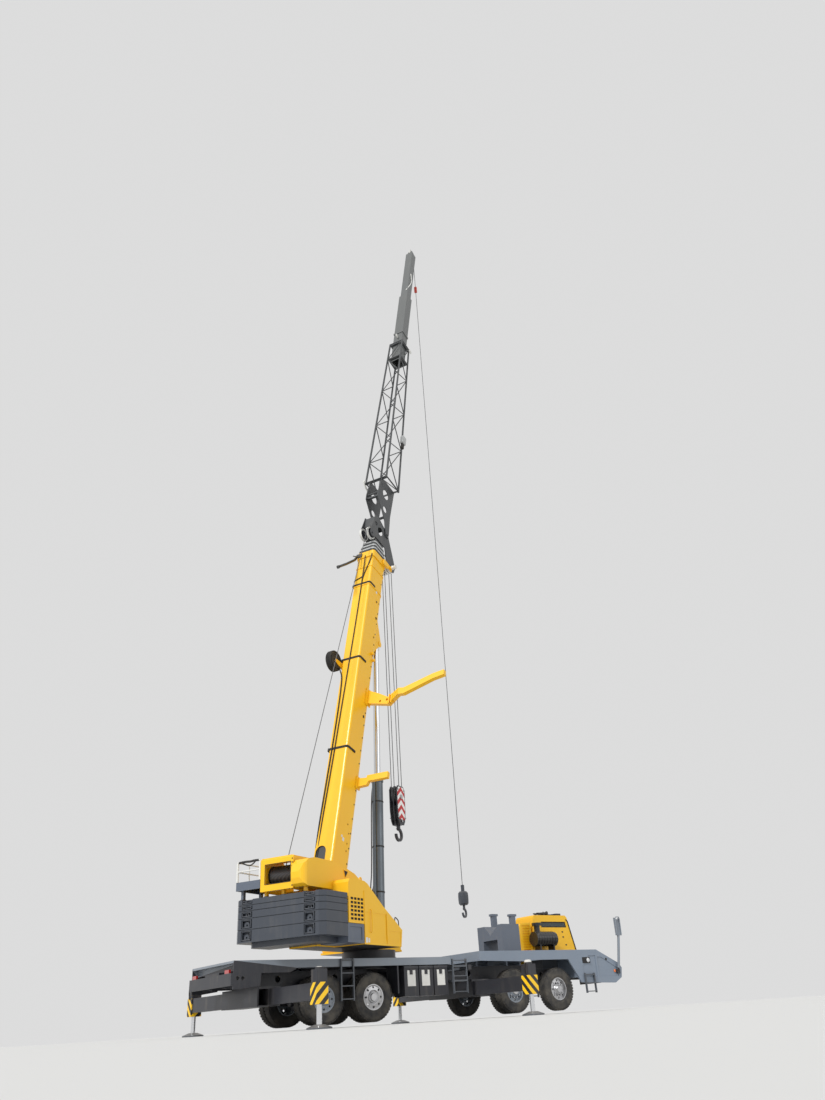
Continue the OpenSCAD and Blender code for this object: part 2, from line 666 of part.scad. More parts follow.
cw_slabs = [0, 275, 525, 695, 825, 963];
lug_y = [-920, 920];
function weight_plan(c, inset) = [[cw_front - inset, -cw_half + inset], [cw_rear + c + inset / 2, -cw_half + inset],
    [cw_rear + inset, -cw_half + c + inset / 2], [cw_rear + inset, cw_half - c - inset / 2],
    [cw_rear + c + inset / 2, cw_half - inset], [cw_front - inset, cw_half - inset]];
module counterweight() {
    color(slate) upper() {
        for (i = [0 : 4]) {
            low = cw_low + cw_slabs[i];
            high = cw_low + cw_slabs[i + 1];
            difference() {
                union() {
                    plan_cut(weight_plan(130, 0), low + (i > 0 ? groove : 0), high);
                    if (i > 0) plan_cut(weight_plan(130, 24), low + seam, low + groove + 1);
                }
                for (y = lug_y)
                    slab(cw_rear - 1, cw_rear + 95, y - 160, y + 160, low + 34, high + (i == 4 ? 1 : -16));
            }
            // Lifting lugs, one in each pocket
            lug = min(high - low - 62, 150);
            for (y = lug_y)
                difference() {
                    cross_cut(concat([[y - lug / 2, low + 33]], arc(y, low + 34 + lug / 2, lug / 2, 180, 0, 9),
                        [[y + lug / 2, low + 33]]), cw_rear + 20, cw_rear + 70);
                    rod_x(y, low + 34 + lug / 2, lug_r, cw_rear + 19, cw_rear + 71);
                }
        }
        // Tray under the slabs
        plan_cut([[cw_front, -1000], [cw_rear + 300, -1000], [cw_rear + 150, -850], [cw_rear + 150, 850],
            [cw_rear + 300, 1000], [cw_front, 1000]], 1780, cw_low + 1);
        // Pads that carry the winch frame, the covers and the platform
        for (y = [-700, -60, 460, 1180])
            for (x = [-3900, -3200])
                slab(x, x + 120, y, y + 90, cw_low + cw_slabs[5] - 1, cw_low + cw_slabs[5] + 40);
    }
}
lug_r = 22;

// Right-hand machinery housing and the rounded cover behind it
module machinery_covers() {
    housing = [[-450, table_z + table_t], [-380, 2150], [-744, 2356], [-1320, 2667], [-2060, 3150], [-2200, 3200],
        [-2640, 3230], [-2900, 3200], [-2960, 3120], [-2960, 2200], [-2250, 2200], [-2250, table_z + table_t]];
    cover = [[-2961, 3000], [-3980, 3000], [-4090, 3060], [-4140, 3180], [-4150, 3320], [-4090, 3500], [-3950, 3620],
        [-3700, 3670], [-2870, 3660], [-2400, 3580], [-1900, 3460], [-1500, 3260], [-1250, 2960], [-1250, 2500], [-2700, 2500],
        [-2700, 2900]];
    color(yellow) upper() {
        difference() {
            union() {
                side_cut(housing, -1290, -cheek_in - cheek_t - 25);
                slab(-2250, -450, -1290, -cheek_in - cheek_t - 0.3, table_z, table_z + table_t + 1);
                // Rounded cover above the counterweight
                intersection() {
                    side_cut(cover, -900, -cheek_in - cheek_t - 25);
                    plan_cut(concat([[-1240, -400], [-4160, -400]], arc(-3960, -620, 190, 180, 270, 6), [[-1240, -810]]),
                        2400, 3800);
                }
            }
            slab(-2880, -2270, -1291, -1262, 2250, 2800);
            slab(-2245, -1175, -1291, -1282, 1850, 2480);
            slab(-1150, -480, -1291, -1282, 1850, 2100);
            // Ventilation hole near the top edge
            side_cut([[-2030, 3330], [-1850, 3310], [-1960, 3160]], -811, -740);
        }
        for (i = [0 : 10])
            side_cut([[-2881, 2262 + i * 48], [-2269, 2262 + i * 48], [-2269, 2286 + i * 48], [-2881, 2286 + i * 48]],
                -1284, -1261);
        for (x = [-2780, -2600, -2430])
            slab(x, x + 24, -1284, -1261, 2249, 2801);
        // Posts down to the counterweight's pads
        for (x = [-3880, -3180])
            slab(x, x + 80, -690, -620, cw_low + cw_slabs[5] + 40.3, 3001);
    }
}
module hydraulic_box() {
    color(dark) upper() {
        difference() {
            slab(-3000, -2270, -1290, -500, 1765, 2190);
            slab(-2900, -2370, -1291, -1275, 1840, 2120);
        }
        slab(-2900, -2400, -500, -cheek_in - cheek_t, 1900, 2100);
    }
}

// Winch frame over the counterweight
winch = [-3560, 3380, 150];
winch_y = [-300, 520];
module winch_housing() {
    wall = [[-3990, 2980], [-3990, 3760], [-3200, 3760], [-2780, 3500], [-2700, 3060], [-2700, 2990], [-3000, 2960]];
    color(yellow) upper() {
        for (y = [winch_y[0] - 40, winch_y[1]])
            side_cut(wall, y, y + 40);
        // Rear frame with the window that shows the drum
        difference() {
            side_cut([[-4010, 2990], [-3970, 2990], [-3970, 3755], [-4010, 3715]], -400, winch_y[1] + 60);
            plan_cut([[-4050, -320], [-4050, 440], [-3900, 440], [-3900, -320]], 3150, 3600);
        }
        slab(-3980, -3150, winch_y[0] - 1, winch_y[1] + 1, 3740, 3760);
        slab(-3980, -3880, winch_y[0] - 1, winch_y[1] + 1, 2990, 3050);
        slab(-3100, -3000, winch_y[0] - 1, winch_y[1] + 1, 2990, 3050);
        slab(-4000, -3960, winch_y[0] - 1, winch_y[1] + 1, 3085, 3110);
        rod_y(winch[0], winch[1], 45, winch_y[0] - 1, winch_y[1] + 1);
        // Legs down to the counterweight's pads
        for (x = [-3890, -3190])
            for (y = [-50, 470])
                slab(x, x + 90, y, y + 70, cw_low + cw_slabs[5] + 40.3, x < -3500 ? 3000 : 3049);
        slab(-3190, -3000, -50, 20, 2991, 3049);
        slab(-3190, -3000, 470, 540, 2991, 3049);
    }
}
module winch_drum() {
    bore = 45 + fit_gap;
    core = winch[2];
    rim = core + 90;
    half = (winch_y[1] - winch_y[0]) / 2 - 10;
    color(mid) upper() translate([winch[0], (winch_y[0] + winch_y[1]) / 2, winch[1]]) rotate([90, 0, 0])
        rotate_extrude() polygon([[bore, -half], [rim, -half], [rim, -half + 25], [core, -half + 25],
            [core, half - 25], [rim, half - 25], [rim, half], [bore, half]]);
}

// Walkway at the rear left
module platform_rails() {
    side = [600, 1340];
    top = 3290;
    rail = 3760;
    color(slate) upper() {
        slab(-4000, -3060, side[0], side[1], top - 40, top);
        slab(-4000, -3060, side[1] - 30, side[1], 3090, top);
        slab(-4000, -3970, side[0], side[1], 3090, top);
        slab(-3090, -3060, side[0], side[1], 3090, top);
        for (x = [-3890, -3190])
            slab(x, x + 90, 1190, 1260, cw_low + cw_slabs[5] + 40.3, top - 39);
    }
    color(white) upper() {
        posts = [[-3985, 620], [-3985, 1320], [-3530, 1320], [-3075, 1320]];
        for (p = posts)
            rod_z(p[0], p[1], 16, top - 1, rail);
        for (z = [3540, rail])
            chain([[-3985, 620, z], [-3985, 1320, z], [-3075, 1320, z]], 18);
    }
}

// Operator's cab at the front left of the turntable
op_side = [[-350, 1810], [1250, 1810], [1450, 2350], [1180, 3290], [1060, 3350], [-350, 3350]];
op_hollow = [[-290, 1870], [1200, 1870], [1380, 2350], [1120, 3270], [1030, 3290], [-290, 3290]];
module operator_cab() {
    color(yellow) upper() {
        difference() {
            side_cut(op_side, 470, 1270);
            side_cut(op_hollow, 530, 1210);
            side_cut([[-100, 1900], [850, 1900], [850, 3220], [-100, 3220]], 1200, 1271);
            side_cut([[1100, 2000], [1600, 2000], [1600, 3300], [900, 3200]], 560, 1180);
            side_cut([[-200, 2500], [1120, 2500], [950, 3200], [-200, 3200]], 469, 531);
            slab(-351, -280, 620, 1120, 2500, 3200);
            slab(-100, 850, 620, 1120, 3280, 3360);
        }
        slab(-340, 1200, 500, 1250, table_z + table_t, 1810);
        for (z = [1850, 3240])
            slab(-350, 900, 1270, 1290, z, z + 30);
    }
}
module operator_door() {
    color(yellow) upper() difference() {
        slab(-140, 890, 1290 + fit_gap, 1331, 1840, 3285);
        slab(-40, 790, 1289, 1332, 2350, 3200);
        slab(740, 850, 1320, 1332, 2200, 2240);
    }
}
module operator_interior() {
    color(dark) upper() {
        slab(-50, 350, 720, 1020, 1870, 2180);
        slab(-80, 430, 650, 1090, 2180, 2300);
        side_cut([[-80, 2300], [30, 2300], [-60, 3000], [-160, 3000]], 660, 1080);
        side_cut([[950, 1870], [1150, 1870], [1250, 2300], [1180, 2450], [1020, 2420]], 620, 1120);
        for (y = [560, 1120])
            slab(0, 420, y, y + 60, 1870, 2440);
    }
}

// Boom base with the foot, collar and the cylinder's lugs
module boom_base() {
    foot = [[-140, -120], [-140, 120], [60, 330], [520, boom_h / 2 + 9], [base_len + 9, boom_h / 2 + 9],
        [base_len + 9, -boom_h / 2 - 9], [1500, -boom_h / 2 - 9], [300, -330]];
    mouth = 250;
    color(yellow) boom() {
        difference() {
            union() {
                intersection() {
                    section_shell(boom_w, boom_h, boom_wall, 540, base_len - 41);
                    side_cut(foot, -boom_w, boom_w);
                }
                difference() {
                    intersection() {
                        cross_cut(section_outline(boom_w, boom_h), -200, 541);
                        side_cut(foot, -boom_w, boom_w);
                    }
                    slab(230, 542, -boom_w / 2 + 40, boom_w / 2 - 40, -260, 260);
                }
                rod_y(0, 0, 170, -cheek_in + 8, cheek_in - 8);
            }
            rod_y(0, 0, pivot_r + fit_gap, -500, 500);
            // Arched opening in the back of the foot
            rod_z(1020, 90, 165, 380, 460);
            slab(620, 1020, -75, 255, 380, 460);
        }
        // Collar round the mouth, closed on to the next section
        difference() {
            cross_cut(grown(boom_w, boom_h, 35), base_len - mouth, base_len);
            cross_cut(grown(boom_w, boom_h, -1), base_len - mouth - 1, base_len - 40);
            cross_cut(grown(boom_w - step_w, boom_h - step_h, fit_gap), base_len - 60, base_len + 1);
        }
        for (s = [base_len - 700, base_len - 1500])
            collar(boom_w, boom_h, 18, s, s + 40);
        // Lugs for the lift cylinder
        for (side = [-1, 1]) {
            y = side > 0 ? eye_half + 30 : -eye_half - 70;
            side_cut([[pin_s - 700, -boom_h / 2], [pin_s + 1000, -boom_h / 2], [pin_s + 120, -pin_drop - 60],
                [pin_s + 40, -pin_drop - 130], [pin_s - 60, -pin_drop - 130], [pin_s - 130, -pin_drop]], y, y + 40);
            rod_y(pin_s, -pin_drop, 70, side > 0 ? eye_half + 2 : -eye_half - 90, side > 0 ? eye_half + 90 : -eye_half - 2);
        }
    }
}

// Brackets, the stowage arm for the jib and the hose reel on the base section
module boom_brackets() {
    edge = boom_w / 2 + 0.3;
    color(yellow) boom() {
        // Stowage arm that reaches out on the right, bent in plan and seen along the boom
        slab(5800, 6360, -edge - 30, -edge, -430, -150);
        difference() {
            intersection() {
                plan_cut([[5860, -edge - 20], [6320, -edge - 20], [6120, -730], [5905, -1090], [5750, -1900], [5995, -2860],
                    [6040, -3220], [5875, -3220], [5825, -2860], [5550, -1900], [5655, -1130], [5760, -730]], -500, 500);
                cross_cut([[-edge, -400], [-1120, -400], [-1750, 90], [-3300, 90], [-3300, 230], [-1720, 230],
                    [-1070, -260], [-edge, -260]], 5500, 6400);
            }
            for (y = [-800, -1040])
                rod_z(5830, y, 40, -500, 0);
        }
        for (y = [-1250, -1330])
            slab(5560, 5860, y, y + 30, -380 + (-1090 - y) * 0.8, -60);
        // Short bracket lower down
        slab(3060, 3420, -edge - 40, -edge, -400, -200);
        plan_cut([[3120, -edge - 20], [3380, -edge - 20], [3350, -620], [3420, -640], [3420, -1320], [3240, -1320],
            [3240, -700], [3130, -640]], -385, -265);
        // Reel bracket on the left
        slab(6900, 7100, edge, edge + 40, 100, 380);
        side_cut([[6900, 300], [7100, 300], [7060, 760], [6960, 760]], edge + 20, edge + 60);
        // Knobs on the right
        for (s = [7450, 7650])
            rod_y(s, -290 + (s - 7450) * 0.5, 45, -edge - 90, -edge);
        // Roller stand on the mouth's collar
        side_cut([[base_len - 220, -420], [base_len - 20, -420], [base_len - 20, -120], [base_len - 220, -120]],
            -edge - 100, -edge - 35);
        side_cut([[base_len - 200, -660], [base_len - 20, -660], [base_len - 40, -400], [base_len - 180, -400]],
            -edge - 100, -edge - 60);
        rod_y(base_len - 110, -560, 60, -edge - 200, -edge - 99);
    }
    color(dark) boom() {
        // Hose reel: two flanges on a core, with its coiled hose
        translate([7010, edge + 130, 700]) rotate([90, 0, 0]) rotate_extrude() polygon([[40, -70], [300, -70],
            [310, -62], [310, -50], [285, -45], [200, -45], [240, -30], [240, 30], [200, 45], [285, 45], [310, 50],
            [310, 62], [300, 70], [40, 70]]);
        rod_y(7010, 700, 39.7, edge + 59, edge + 210);
        // Guide arms beside the mouth
        slab(base_len - 200, base_len - 60, 120, 340, boom_h / 2 + 35.3, boom_h / 2 + 75);
        chain([[base_len - 130, 300, boom_h / 2 + 60], [base_len - 380, 300, 600], [10700, 300, 1030], [10250, 300, 1430]], 24);
        chain([[base_len - 130, 160, boom_h / 2 + 60], [base_len - 330, 160, 650], [11100, 160, 900]], 18);
        rod_y(10245, 1435, 55, 270, 330);
    }
}

// Telescoping sections, each with a collar closed on to the next
module boom_section(k) {
    w = boom_w - k * step_w;
    h = boom_h - k * step_h;
    end = base_len + k * step_out;
    last = k == 4;
    color(k % 2 == 0 ? yellow : pale) boom() {
        section_shell(w, h, 10, 700 + 90 * k, last ? end : end - 21);
        if (!last)
            difference() {
                union() {
                    cross_cut(grown(w, h, 34), end - step_out + 60, end);
                    cross_cut(grown(w, h, 52), end - 70, end - 12);
                }
                cross_cut(grown(w, h, -1), end - step_out, end - 20);
                cross_cut(grown(w - step_w, h - step_h, fit_gap), end - 40, end + 1);
            }
    }
}

// Boom head: side plates with a lobe for the hoist sheaves
head_start = base_len + 4 * step_out;
mast_axle = [head_start + 60, 520];
module boom_head() {
    w4 = boom_w - 4 * step_w;
    plate = [[head_start - 520, -560], [hoist_s - 260, -hoist_drop + 100], [hoist_s - 200, -hoist_drop - 160],
        [hoist_s + 60, -hoist_drop - 220], [hoist_s + 260, -hoist_drop - 80], [head_start + 580, -520],
        [head_start + 800, -420], [head_start + 800, -240], [head_start + 1000, 260], [head_start + 960, 480],
        [head_start + 560, 560], [head_start + 200, 640], [head_start, 640], [head_start - 90, 540],
        [head_start - 60, 420], [head_start + 30, 300], [head_start + 20, -330]];
    color(dark) boom() {
        difference() {
            for (side = [-1, 1]) {
                y = side > 0 ? w4 / 2 : -w4 / 2 - 25;
                side_cut(plate, y, y + 25);
            }
            rod_y(head_start + 480, 60, 170, -500, 500);
            rod_y(head_start + 620, 380, 80, -500, 500);
            rod_y(hoist_s, -hoist_drop, 50, -500, 500);
            rod_y(jib_s, -jib_drop, 40, -500, 500);
        }
        slab(head_start + 0.2, head_start + 560, -w4 / 2 - 1, w4 / 2 + 1, -270, -245);
        slab(head_start + 0.2, head_start + 180, -w4 / 2 - 1, w4 / 2 + 1, 225, 250);
        slab(head_start + 730, head_start + 780, -w4 / 2 - 1, w4 / 2 + 1, -200, 200);
        slab(head_start + 480, head_start + 900, -w4 / 2 - 1, w4 / 2 + 1, 440, 465);
        rod_y(hoist_s, -hoist_drop, 50, -w4 / 2 - 60, w4 / 2 + 60);
        rod_y(mast_axle[0], mast_axle[1], 40, -w4 / 2 - 40, w4 / 2 + 40);
        rod_y(jib_s, -jib_drop, 40, -w4 / 2 - 90, w4 / 2 + 90);
    }
}
module head_sheaves() {
    color(white) boom() {
        for (y = [-150, -50, 50, 150])
            translate([hoist_s, y, -hoist_drop]) sheave(sheave_r, groove_r, 50 + fit_gap, 38);
        for (y = [-140, 140])
            translate([mast_axle[0], y, mast_axle[1]]) sheave(sheave_r - 20, groove_r - 20, 40 + fit_gap, 40);
    }
}

// Lift cylinder, laid along the line from its foot to the boom's pin
pin_x = pivot_x + pin_s * cos(boom_angle) + pin_drop * sin(boom_angle);
pin_z = pivot_z + pin_s * sin(boom_angle) - pin_drop * cos(boom_angle);
ram_len = norm([pin_x - foot_x, pin_z - foot_z]);
ram_angle = atan2(pin_z - foot_z, pin_x - foot_x);
module ram() { upper() translate([foot_x, 0, foot_z]) rotate([0, -ram_angle, 0]) children(); }
module lift_barrel() {
    color(dark) ram() difference() {
        union() {
            rod_y(0, 0, 150, -eye_half, eye_half);
            slab(0, 260, -eye_half, eye_half, -120, 120);
            rod_x(0, 0, barrel_r, 200, barrel_len);
            rod_x(0, 0, barrel_r + 18, barrel_len - 160, barrel_len);
            rod_x(0, barrel_r + 20, 28, 420, barrel_len - 160);
            for (s = [420, barrel_len - 200])
                slab(s, s + 60, -28, 28, 100, barrel_r + 20);
        }
        rod_y(0, 0, 60 + fit_gap, -eye_half - 1, eye_half + 1);
        rod_x(0, 0, rod_r + fit_gap, 320, barrel_len + 1);
    }
}
module lift_rod() {
    color(steel) ram() difference() {
        union() {
            rod_x(0, 0, rod_r, ram_len - 5200, ram_len - 90);
            rod_y(ram_len, 0, eye_r, -eye_half, eye_half);
            slab(ram_len - 200, ram_len - 60, -eye_half, eye_half, -110, 110);
        }
        rod_y(ram_len, 0, 72, -eye_half - 1, eye_half + 1);
    }
}

// Hanging hook block and its falls, under the hoist sheaves
hoist_x = pivot_x + hoist_s * cos(boom_angle) + hoist_drop * sin(boom_angle);
hoist_z = pivot_z + hoist_s * sin(boom_angle) - hoist_drop * cos(boom_angle);
block_axle = block_top - 330;
fall_x = groove_r + rope_r + fit_gap;
module hook_falls() {
    color(dark) upper() for (y = [-50, 50])
        for (side = [-1, 1])
            rod_z(hoist_x + side * fall_x, y, rope_r, block_axle, hoist_z);
}
module crane_hook(r, thick) {
    difference() {
        union() {
            translate([0, thick / 2, 0]) rotate([90, 0, 0]) cylinder(r = r, h = thick);
            translate([0, 0, r * 0.55]) translate([-thick / 2, -thick / 2, 0]) cube([thick, thick, r * 1.1]);
        }
        translate([0, thick, 0]) rotate([90, 0, 0]) cylinder(r = r - thick, h = thick * 2);
        translate([-r * 1.3, -thick, r * 0.05]) cube([r * 1.3 - thick * 0.6, thick * 2, r * 0.75]);
    }
}
module hook_block() {
    low = block_top - 1180;
    color(dark) upper() translate([hoist_x, 0, 0]) {
        for (y = [-125, 0, 125])
            side_cut([[-200, low + 120], [-250, low + 420], [-250, block_top - 120], [-170, block_top], [170, block_top],
                [250, block_top - 120], [250, low + 420], [200, low + 120], [120, low], [-120, low]],
                y - 12, y + 12);
        rod_y(0, block_axle, 45, -137, 137);
        slab(-90, 90, -137, 137, low, low + 160);
        rod_z(0, 0, 60, low - 120, low);
        translate([0, 0, low - 280]) crane_hook(200, 70);
        for (y = [-50, 50])
            translate([0, y, block_axle]) sheave(sheave_r - 6, groove_r, 45 - 0.1, 30);
    }
}

// Jib: adapter frame, lattice, sliding tube and tip sheave
jib_up = 300;
module jib_lattice() {
    half_foot = lattice_foot / 2;
    half_head = lattice_head / 2;
    chord = 38;
    lace = 20;
    w4 = boom_w - 4 * step_w;
    far = lattice_s + lattice_len;
    // Half depth at a place along the lattice
    function half_at(s) = half_foot + (half_head - half_foot) * (s - lattice_s) / lattice_len;
    function node_at(i) = lattice_s + lattice_len * i / bays;
    color(dark) jib() {
        for (side = [-1, 1]) {
            y = side > 0 ? w4 / 2 + 30 : -w4 / 2 - 60;
            difference() {
                side_cut([[-110, -90], [90, -110], [900, -60], [lattice_s, jib_up - half_foot], [lattice_s, jib_up + half_foot],
                    [1500, 880], [1250, 880], [820, 500], [500, 260], [-90, 90]], y, y + 30);
                rod_y(0, 0, 40 + fit_gap, -600, 600);
                rod_y(1000, 320, 130, -600, 600);
                rod_y(1700, 380, 200, -600, 600);
            }
        }
        for (z = [jib_up - half_foot + 20, jib_up + half_foot - 60])
            slab(lattice_s - 60, lattice_s, -half_foot - 20, half_foot + 20, z, z + 40);
        slab(900, 960, -w4 / 2 - 30, w4 / 2 + 30, 0, 80);
        slab(1300, 1360, -w4 / 2 - 30, w4 / 2 + 30, 740, 820);
        rod_y(1500, 800, 35, -w4 / 2 - 60, w4 / 2 + 60);
        for (side = [-1, 1])
            for (top = [-1, 1]) {
                p = [lattice_s - 60, side * half_foot, jib_up + top * half_foot];
                q = [far, side * half_head, jib_up + top * half_head];
                strut(p, q, chord);
            }
        for (i = [0 : bays - 1]) {
            s0 = node_at(i);
            s1 = node_at(i + 1);
            a = half_at(s0);
            b = half_at(s1);
            up = i % 2 == 0 ? 1 : -1;
            for (side = [-1, 1]) {
                strut([s0, side * a, jib_up - up * a], [s1, side * b, jib_up + up * b], lace, 6);
                strut([s0, -up * a, jib_up + side * a], [s1, up * b, jib_up + side * b], lace, 6);
            }
        }
        for (i = [0, bays]) {
            a = half_at(node_at(i));
            for (side = [-1, 1]) {
                strut([node_at(i), side * a, jib_up - a], [node_at(i), side * a, jib_up + a], lace + 6, 6);
                strut([node_at(i), -a, jib_up + side * a], [node_at(i), a, jib_up + side * a], lace + 6, 6);
            }
        }
        // Guide frames that carry the tube
        for (s = [far - 90, far - 1100]) {
            a = half_at(s);
            difference() {
                slab(s, s + 60, -a, a, jib_up - a, jib_up + a);
                slab(s - 1, s + 61, -tube_w / 2 - fit_gap, tube_w / 2 + fit_gap,
                    jib_up - tube_w / 2 - fit_gap, jib_up + tube_w / 2 + fit_gap);
            }
        }
    }
}
module jib_tube() {
    start = lattice_s + lattice_len - 1200;
    mid_s = 15000;
    color(mid) jib() translate([0, 0, jib_up]) {
        difference() {
            slab(start, mid_s, -tube_w / 2, tube_w / 2, -tube_w / 2, tube_w / 2);
            slab(start - 1, mid_s - 30, -tube_w / 2 + 12, tube_w / 2 - 12, -tube_w / 2 + 12, tube_w / 2 - 12);
        }
        difference() {
            slab(mid_s - 1, tip_s - tip_r - 20, -tip_w / 2, tip_w / 2, -tip_w / 2, tip_w / 2);
            slab(mid_s + 20, tip_s - tip_r - 40, -tip_w / 2 + 10, tip_w / 2 - 10, -tip_w / 2 + 10, tip_w / 2 - 10);
        }
        for (side = [-1, 1]) {
            y = side > 0 ? 60 : -85;
            side_cut([[tip_s - tip_r - 40, -tip_w / 2], [tip_s + 60, -tip_w / 2 + 60], [tip_s + 90, 60], [tip_s, 120],
                [tip_s - tip_r - 40, tip_w / 2]], y, y + 25);
        }
        rod_y(tip_s, 0, 35, -85, 85);
        difference() {
            slab(11900, 12000, -tube_w / 2 - 25, tube_w / 2 + 25, -tube_w / 2 - 25, tube_w / 2 + 25);
            slab(11899, 12001, -tube_w / 2, tube_w / 2, -tube_w / 2, tube_w / 2);
        }
    }
}
module jib_sheave() {
    color(white) jib() translate([tip_s, 0, jib_up]) sheave(tip_r, tip_r - 22, 35 + fit_gap, 32);
}
// Place of the tip sheave in the upper works
tip_b_s = jib_s + tip_s * cos(jib_angle) - jib_up * sin(jib_angle);
tip_b_z = -jib_drop + tip_s * sin(jib_angle) + jib_up * cos(jib_angle);
tip_x = pivot_x + tip_b_s * cos(boom_angle) - tip_b_z * sin(boom_angle);
tip_z = pivot_z + tip_b_s * sin(boom_angle) + tip_b_z * cos(boom_angle);
module ball_line() {
    x = tip_x + tip_r - 22 + rope_r + fit_gap;
    color(dark) upper() {
        rod_z(x, 0, rope_r, ball_z + 200, tip_z);
        // Turned weight with bevelled ends
        translate([x, 0, ball_z]) rotate_extrude() polygon([[0, -215], [120, -215], [165, -165], [172, -60], [172, 60],
            [165, 165], [120, 215], [0, 215]]);
        rod_z(x, 0, 60, ball_z + 200, ball_z + 420);
        rod_z(x, 0, 40, ball_z - 340, ball_z - 200);
        translate([x, 0, ball_z - 460]) crane_hook(150, 55);
        rod_z(x, 0, 70, 31500, 31800);
    }
}

module lamps_mirrors() {
    color(dark) carrier() {
        // Mirror posts at both front corners
        for (side = [-1, 1]) {
            if (side < 0) {
                y = -half_width - 0.3;
                slab(7990, 8110, y - 40, y, 960, 1080);
                strut([8050, y - 34, 1040], [8120, y - 190, 2100], 26);
                for (x = [8010, 8200])
                    slab(x, x + 40, y - 210, y - 170, 2040, 2500);
                slab(8010, 8240, y - 210, y - 170, 2000, 2080);
                slab(8050, 8200, y - 200, y - 180, 2070, 2460);
            }
            if (side > 0) {
                slab(7500, 7720, 560, 1150, 2780, 2850);
                slab(7180, 7460, 700, 1000, 2780, 2840);
            }
        }
        // Bumper bar
        side_cut([[nose_at(900) + 0.4, 900], [nose_at(980) + 0.4, 980], [front_x, 980], [front_x, 900]], -900, 350);
        for (side = [-1, 1])
            slab(rear_x + 10, rear_x + 60, side * 1000 - 120, side * 1000 + 120, 1240, 1320);
    }
}

chassis_frame();
outrigger_boxes();
rear_deck();
front_cowl();
access_steps();
side_boxes();
engine_block();
carrier_cab();
cab_interior();
air_cleaner();
boom_rest();
axle_beams();
lamps_mirrors();
cab_door();
knuckle(0, 1);  // knuckle_1_left
knuckle(0, -1);  // knuckle_1_right
knuckle(1, 1);  // knuckle_2_left
knuckle(1, -1);  // knuckle_2_right
wheel(0, 1);  // wheel_1_left
wheel(0, -1);  // wheel_1_right
wheel(1, 1);  // wheel_2_left
wheel(1, -1);  // wheel_2_right
wheel(2, 1);  // wheel_3_left
wheel(2, -1);  // wheel_3_right
wheel(3, 1);  // wheel_4_left
wheel(3, -1);  // wheel_4_right
outrigger(jack_x_front, 1);  // outrigger_front_left
outrigger(jack_x_front, -1);  // outrigger_front_right
outrigger(jack_x_rear, 1);  // outrigger_rear_left
outrigger(jack_x_rear, -1);  // outrigger_rear_right
jack(jack_x_front, 1);  // jack_front_left
jack(jack_x_front, -1);  // jack_front_right
jack(jack_x_rear, 1);  // jack_rear_left
jack(jack_x_rear, -1);  // jack_rear_right
turntable_frame();
counterweight();
machinery_covers();
hydraulic_box();
winch_housing();
winch_drum();
platform_rails();
operator_cab();
operator_interior();
operator_door();
boom_base();
boom_brackets();
boom_section(1);  // boom_section_1
boom_section(2);  // boom_section_2
boom_section(3);  // boom_section_3
boom_section(4);  // boom_section_4
boom_head();
head_sheaves();
lift_barrel();
lift_rod();
hook_block();
hook_falls();
jib_lattice();
jib_tube();
jib_sheave();
ball_line();
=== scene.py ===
# %% [markdown]
# This script dresses a truck-mounted telescopic crane that stands on its outriggers.
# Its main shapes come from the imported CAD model, and this file adds finishes and small parts.
# Everything is in metres in the model's own frame, with the floor at height 0.

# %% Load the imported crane
import bpy
from math import cos, pi, radians, sin, tau
from mathutils import Matrix, Vector
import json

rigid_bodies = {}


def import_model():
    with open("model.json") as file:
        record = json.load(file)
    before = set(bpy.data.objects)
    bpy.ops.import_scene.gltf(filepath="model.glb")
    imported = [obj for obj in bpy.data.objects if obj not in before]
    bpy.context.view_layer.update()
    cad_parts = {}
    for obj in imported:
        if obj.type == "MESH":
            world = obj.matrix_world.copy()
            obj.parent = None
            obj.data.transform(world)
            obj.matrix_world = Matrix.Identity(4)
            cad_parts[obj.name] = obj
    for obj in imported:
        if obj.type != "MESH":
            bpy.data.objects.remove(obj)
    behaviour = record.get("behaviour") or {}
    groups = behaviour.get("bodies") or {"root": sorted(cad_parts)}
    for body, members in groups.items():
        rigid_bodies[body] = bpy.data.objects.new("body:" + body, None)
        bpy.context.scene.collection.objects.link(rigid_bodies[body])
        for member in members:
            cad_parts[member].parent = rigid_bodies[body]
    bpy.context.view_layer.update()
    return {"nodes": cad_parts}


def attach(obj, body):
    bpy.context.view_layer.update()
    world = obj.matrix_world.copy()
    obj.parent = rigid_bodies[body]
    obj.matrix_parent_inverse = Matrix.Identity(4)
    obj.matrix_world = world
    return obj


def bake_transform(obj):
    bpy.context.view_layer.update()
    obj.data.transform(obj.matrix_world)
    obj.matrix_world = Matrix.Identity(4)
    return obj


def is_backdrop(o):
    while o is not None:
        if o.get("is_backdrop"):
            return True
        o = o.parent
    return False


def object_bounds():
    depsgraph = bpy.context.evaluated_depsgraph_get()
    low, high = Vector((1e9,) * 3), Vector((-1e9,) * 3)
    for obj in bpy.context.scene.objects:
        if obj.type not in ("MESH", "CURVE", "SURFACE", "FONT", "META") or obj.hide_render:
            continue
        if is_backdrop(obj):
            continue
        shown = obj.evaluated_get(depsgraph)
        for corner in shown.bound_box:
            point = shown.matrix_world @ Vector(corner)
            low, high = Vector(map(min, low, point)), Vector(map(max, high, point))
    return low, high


for thing in list(bpy.data.objects):
    bpy.data.objects.remove(thing)
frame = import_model()
nodes = frame["nodes"]

# %% [markdown]
# The upper works are turned on the carrier, the boom is raised on the upper works, and the jib is
# set on the boom. A part is easiest to model along its own straight axes and then laid in place.
# One matrix for each of these frames does that, with the angles that the CAD source uses.

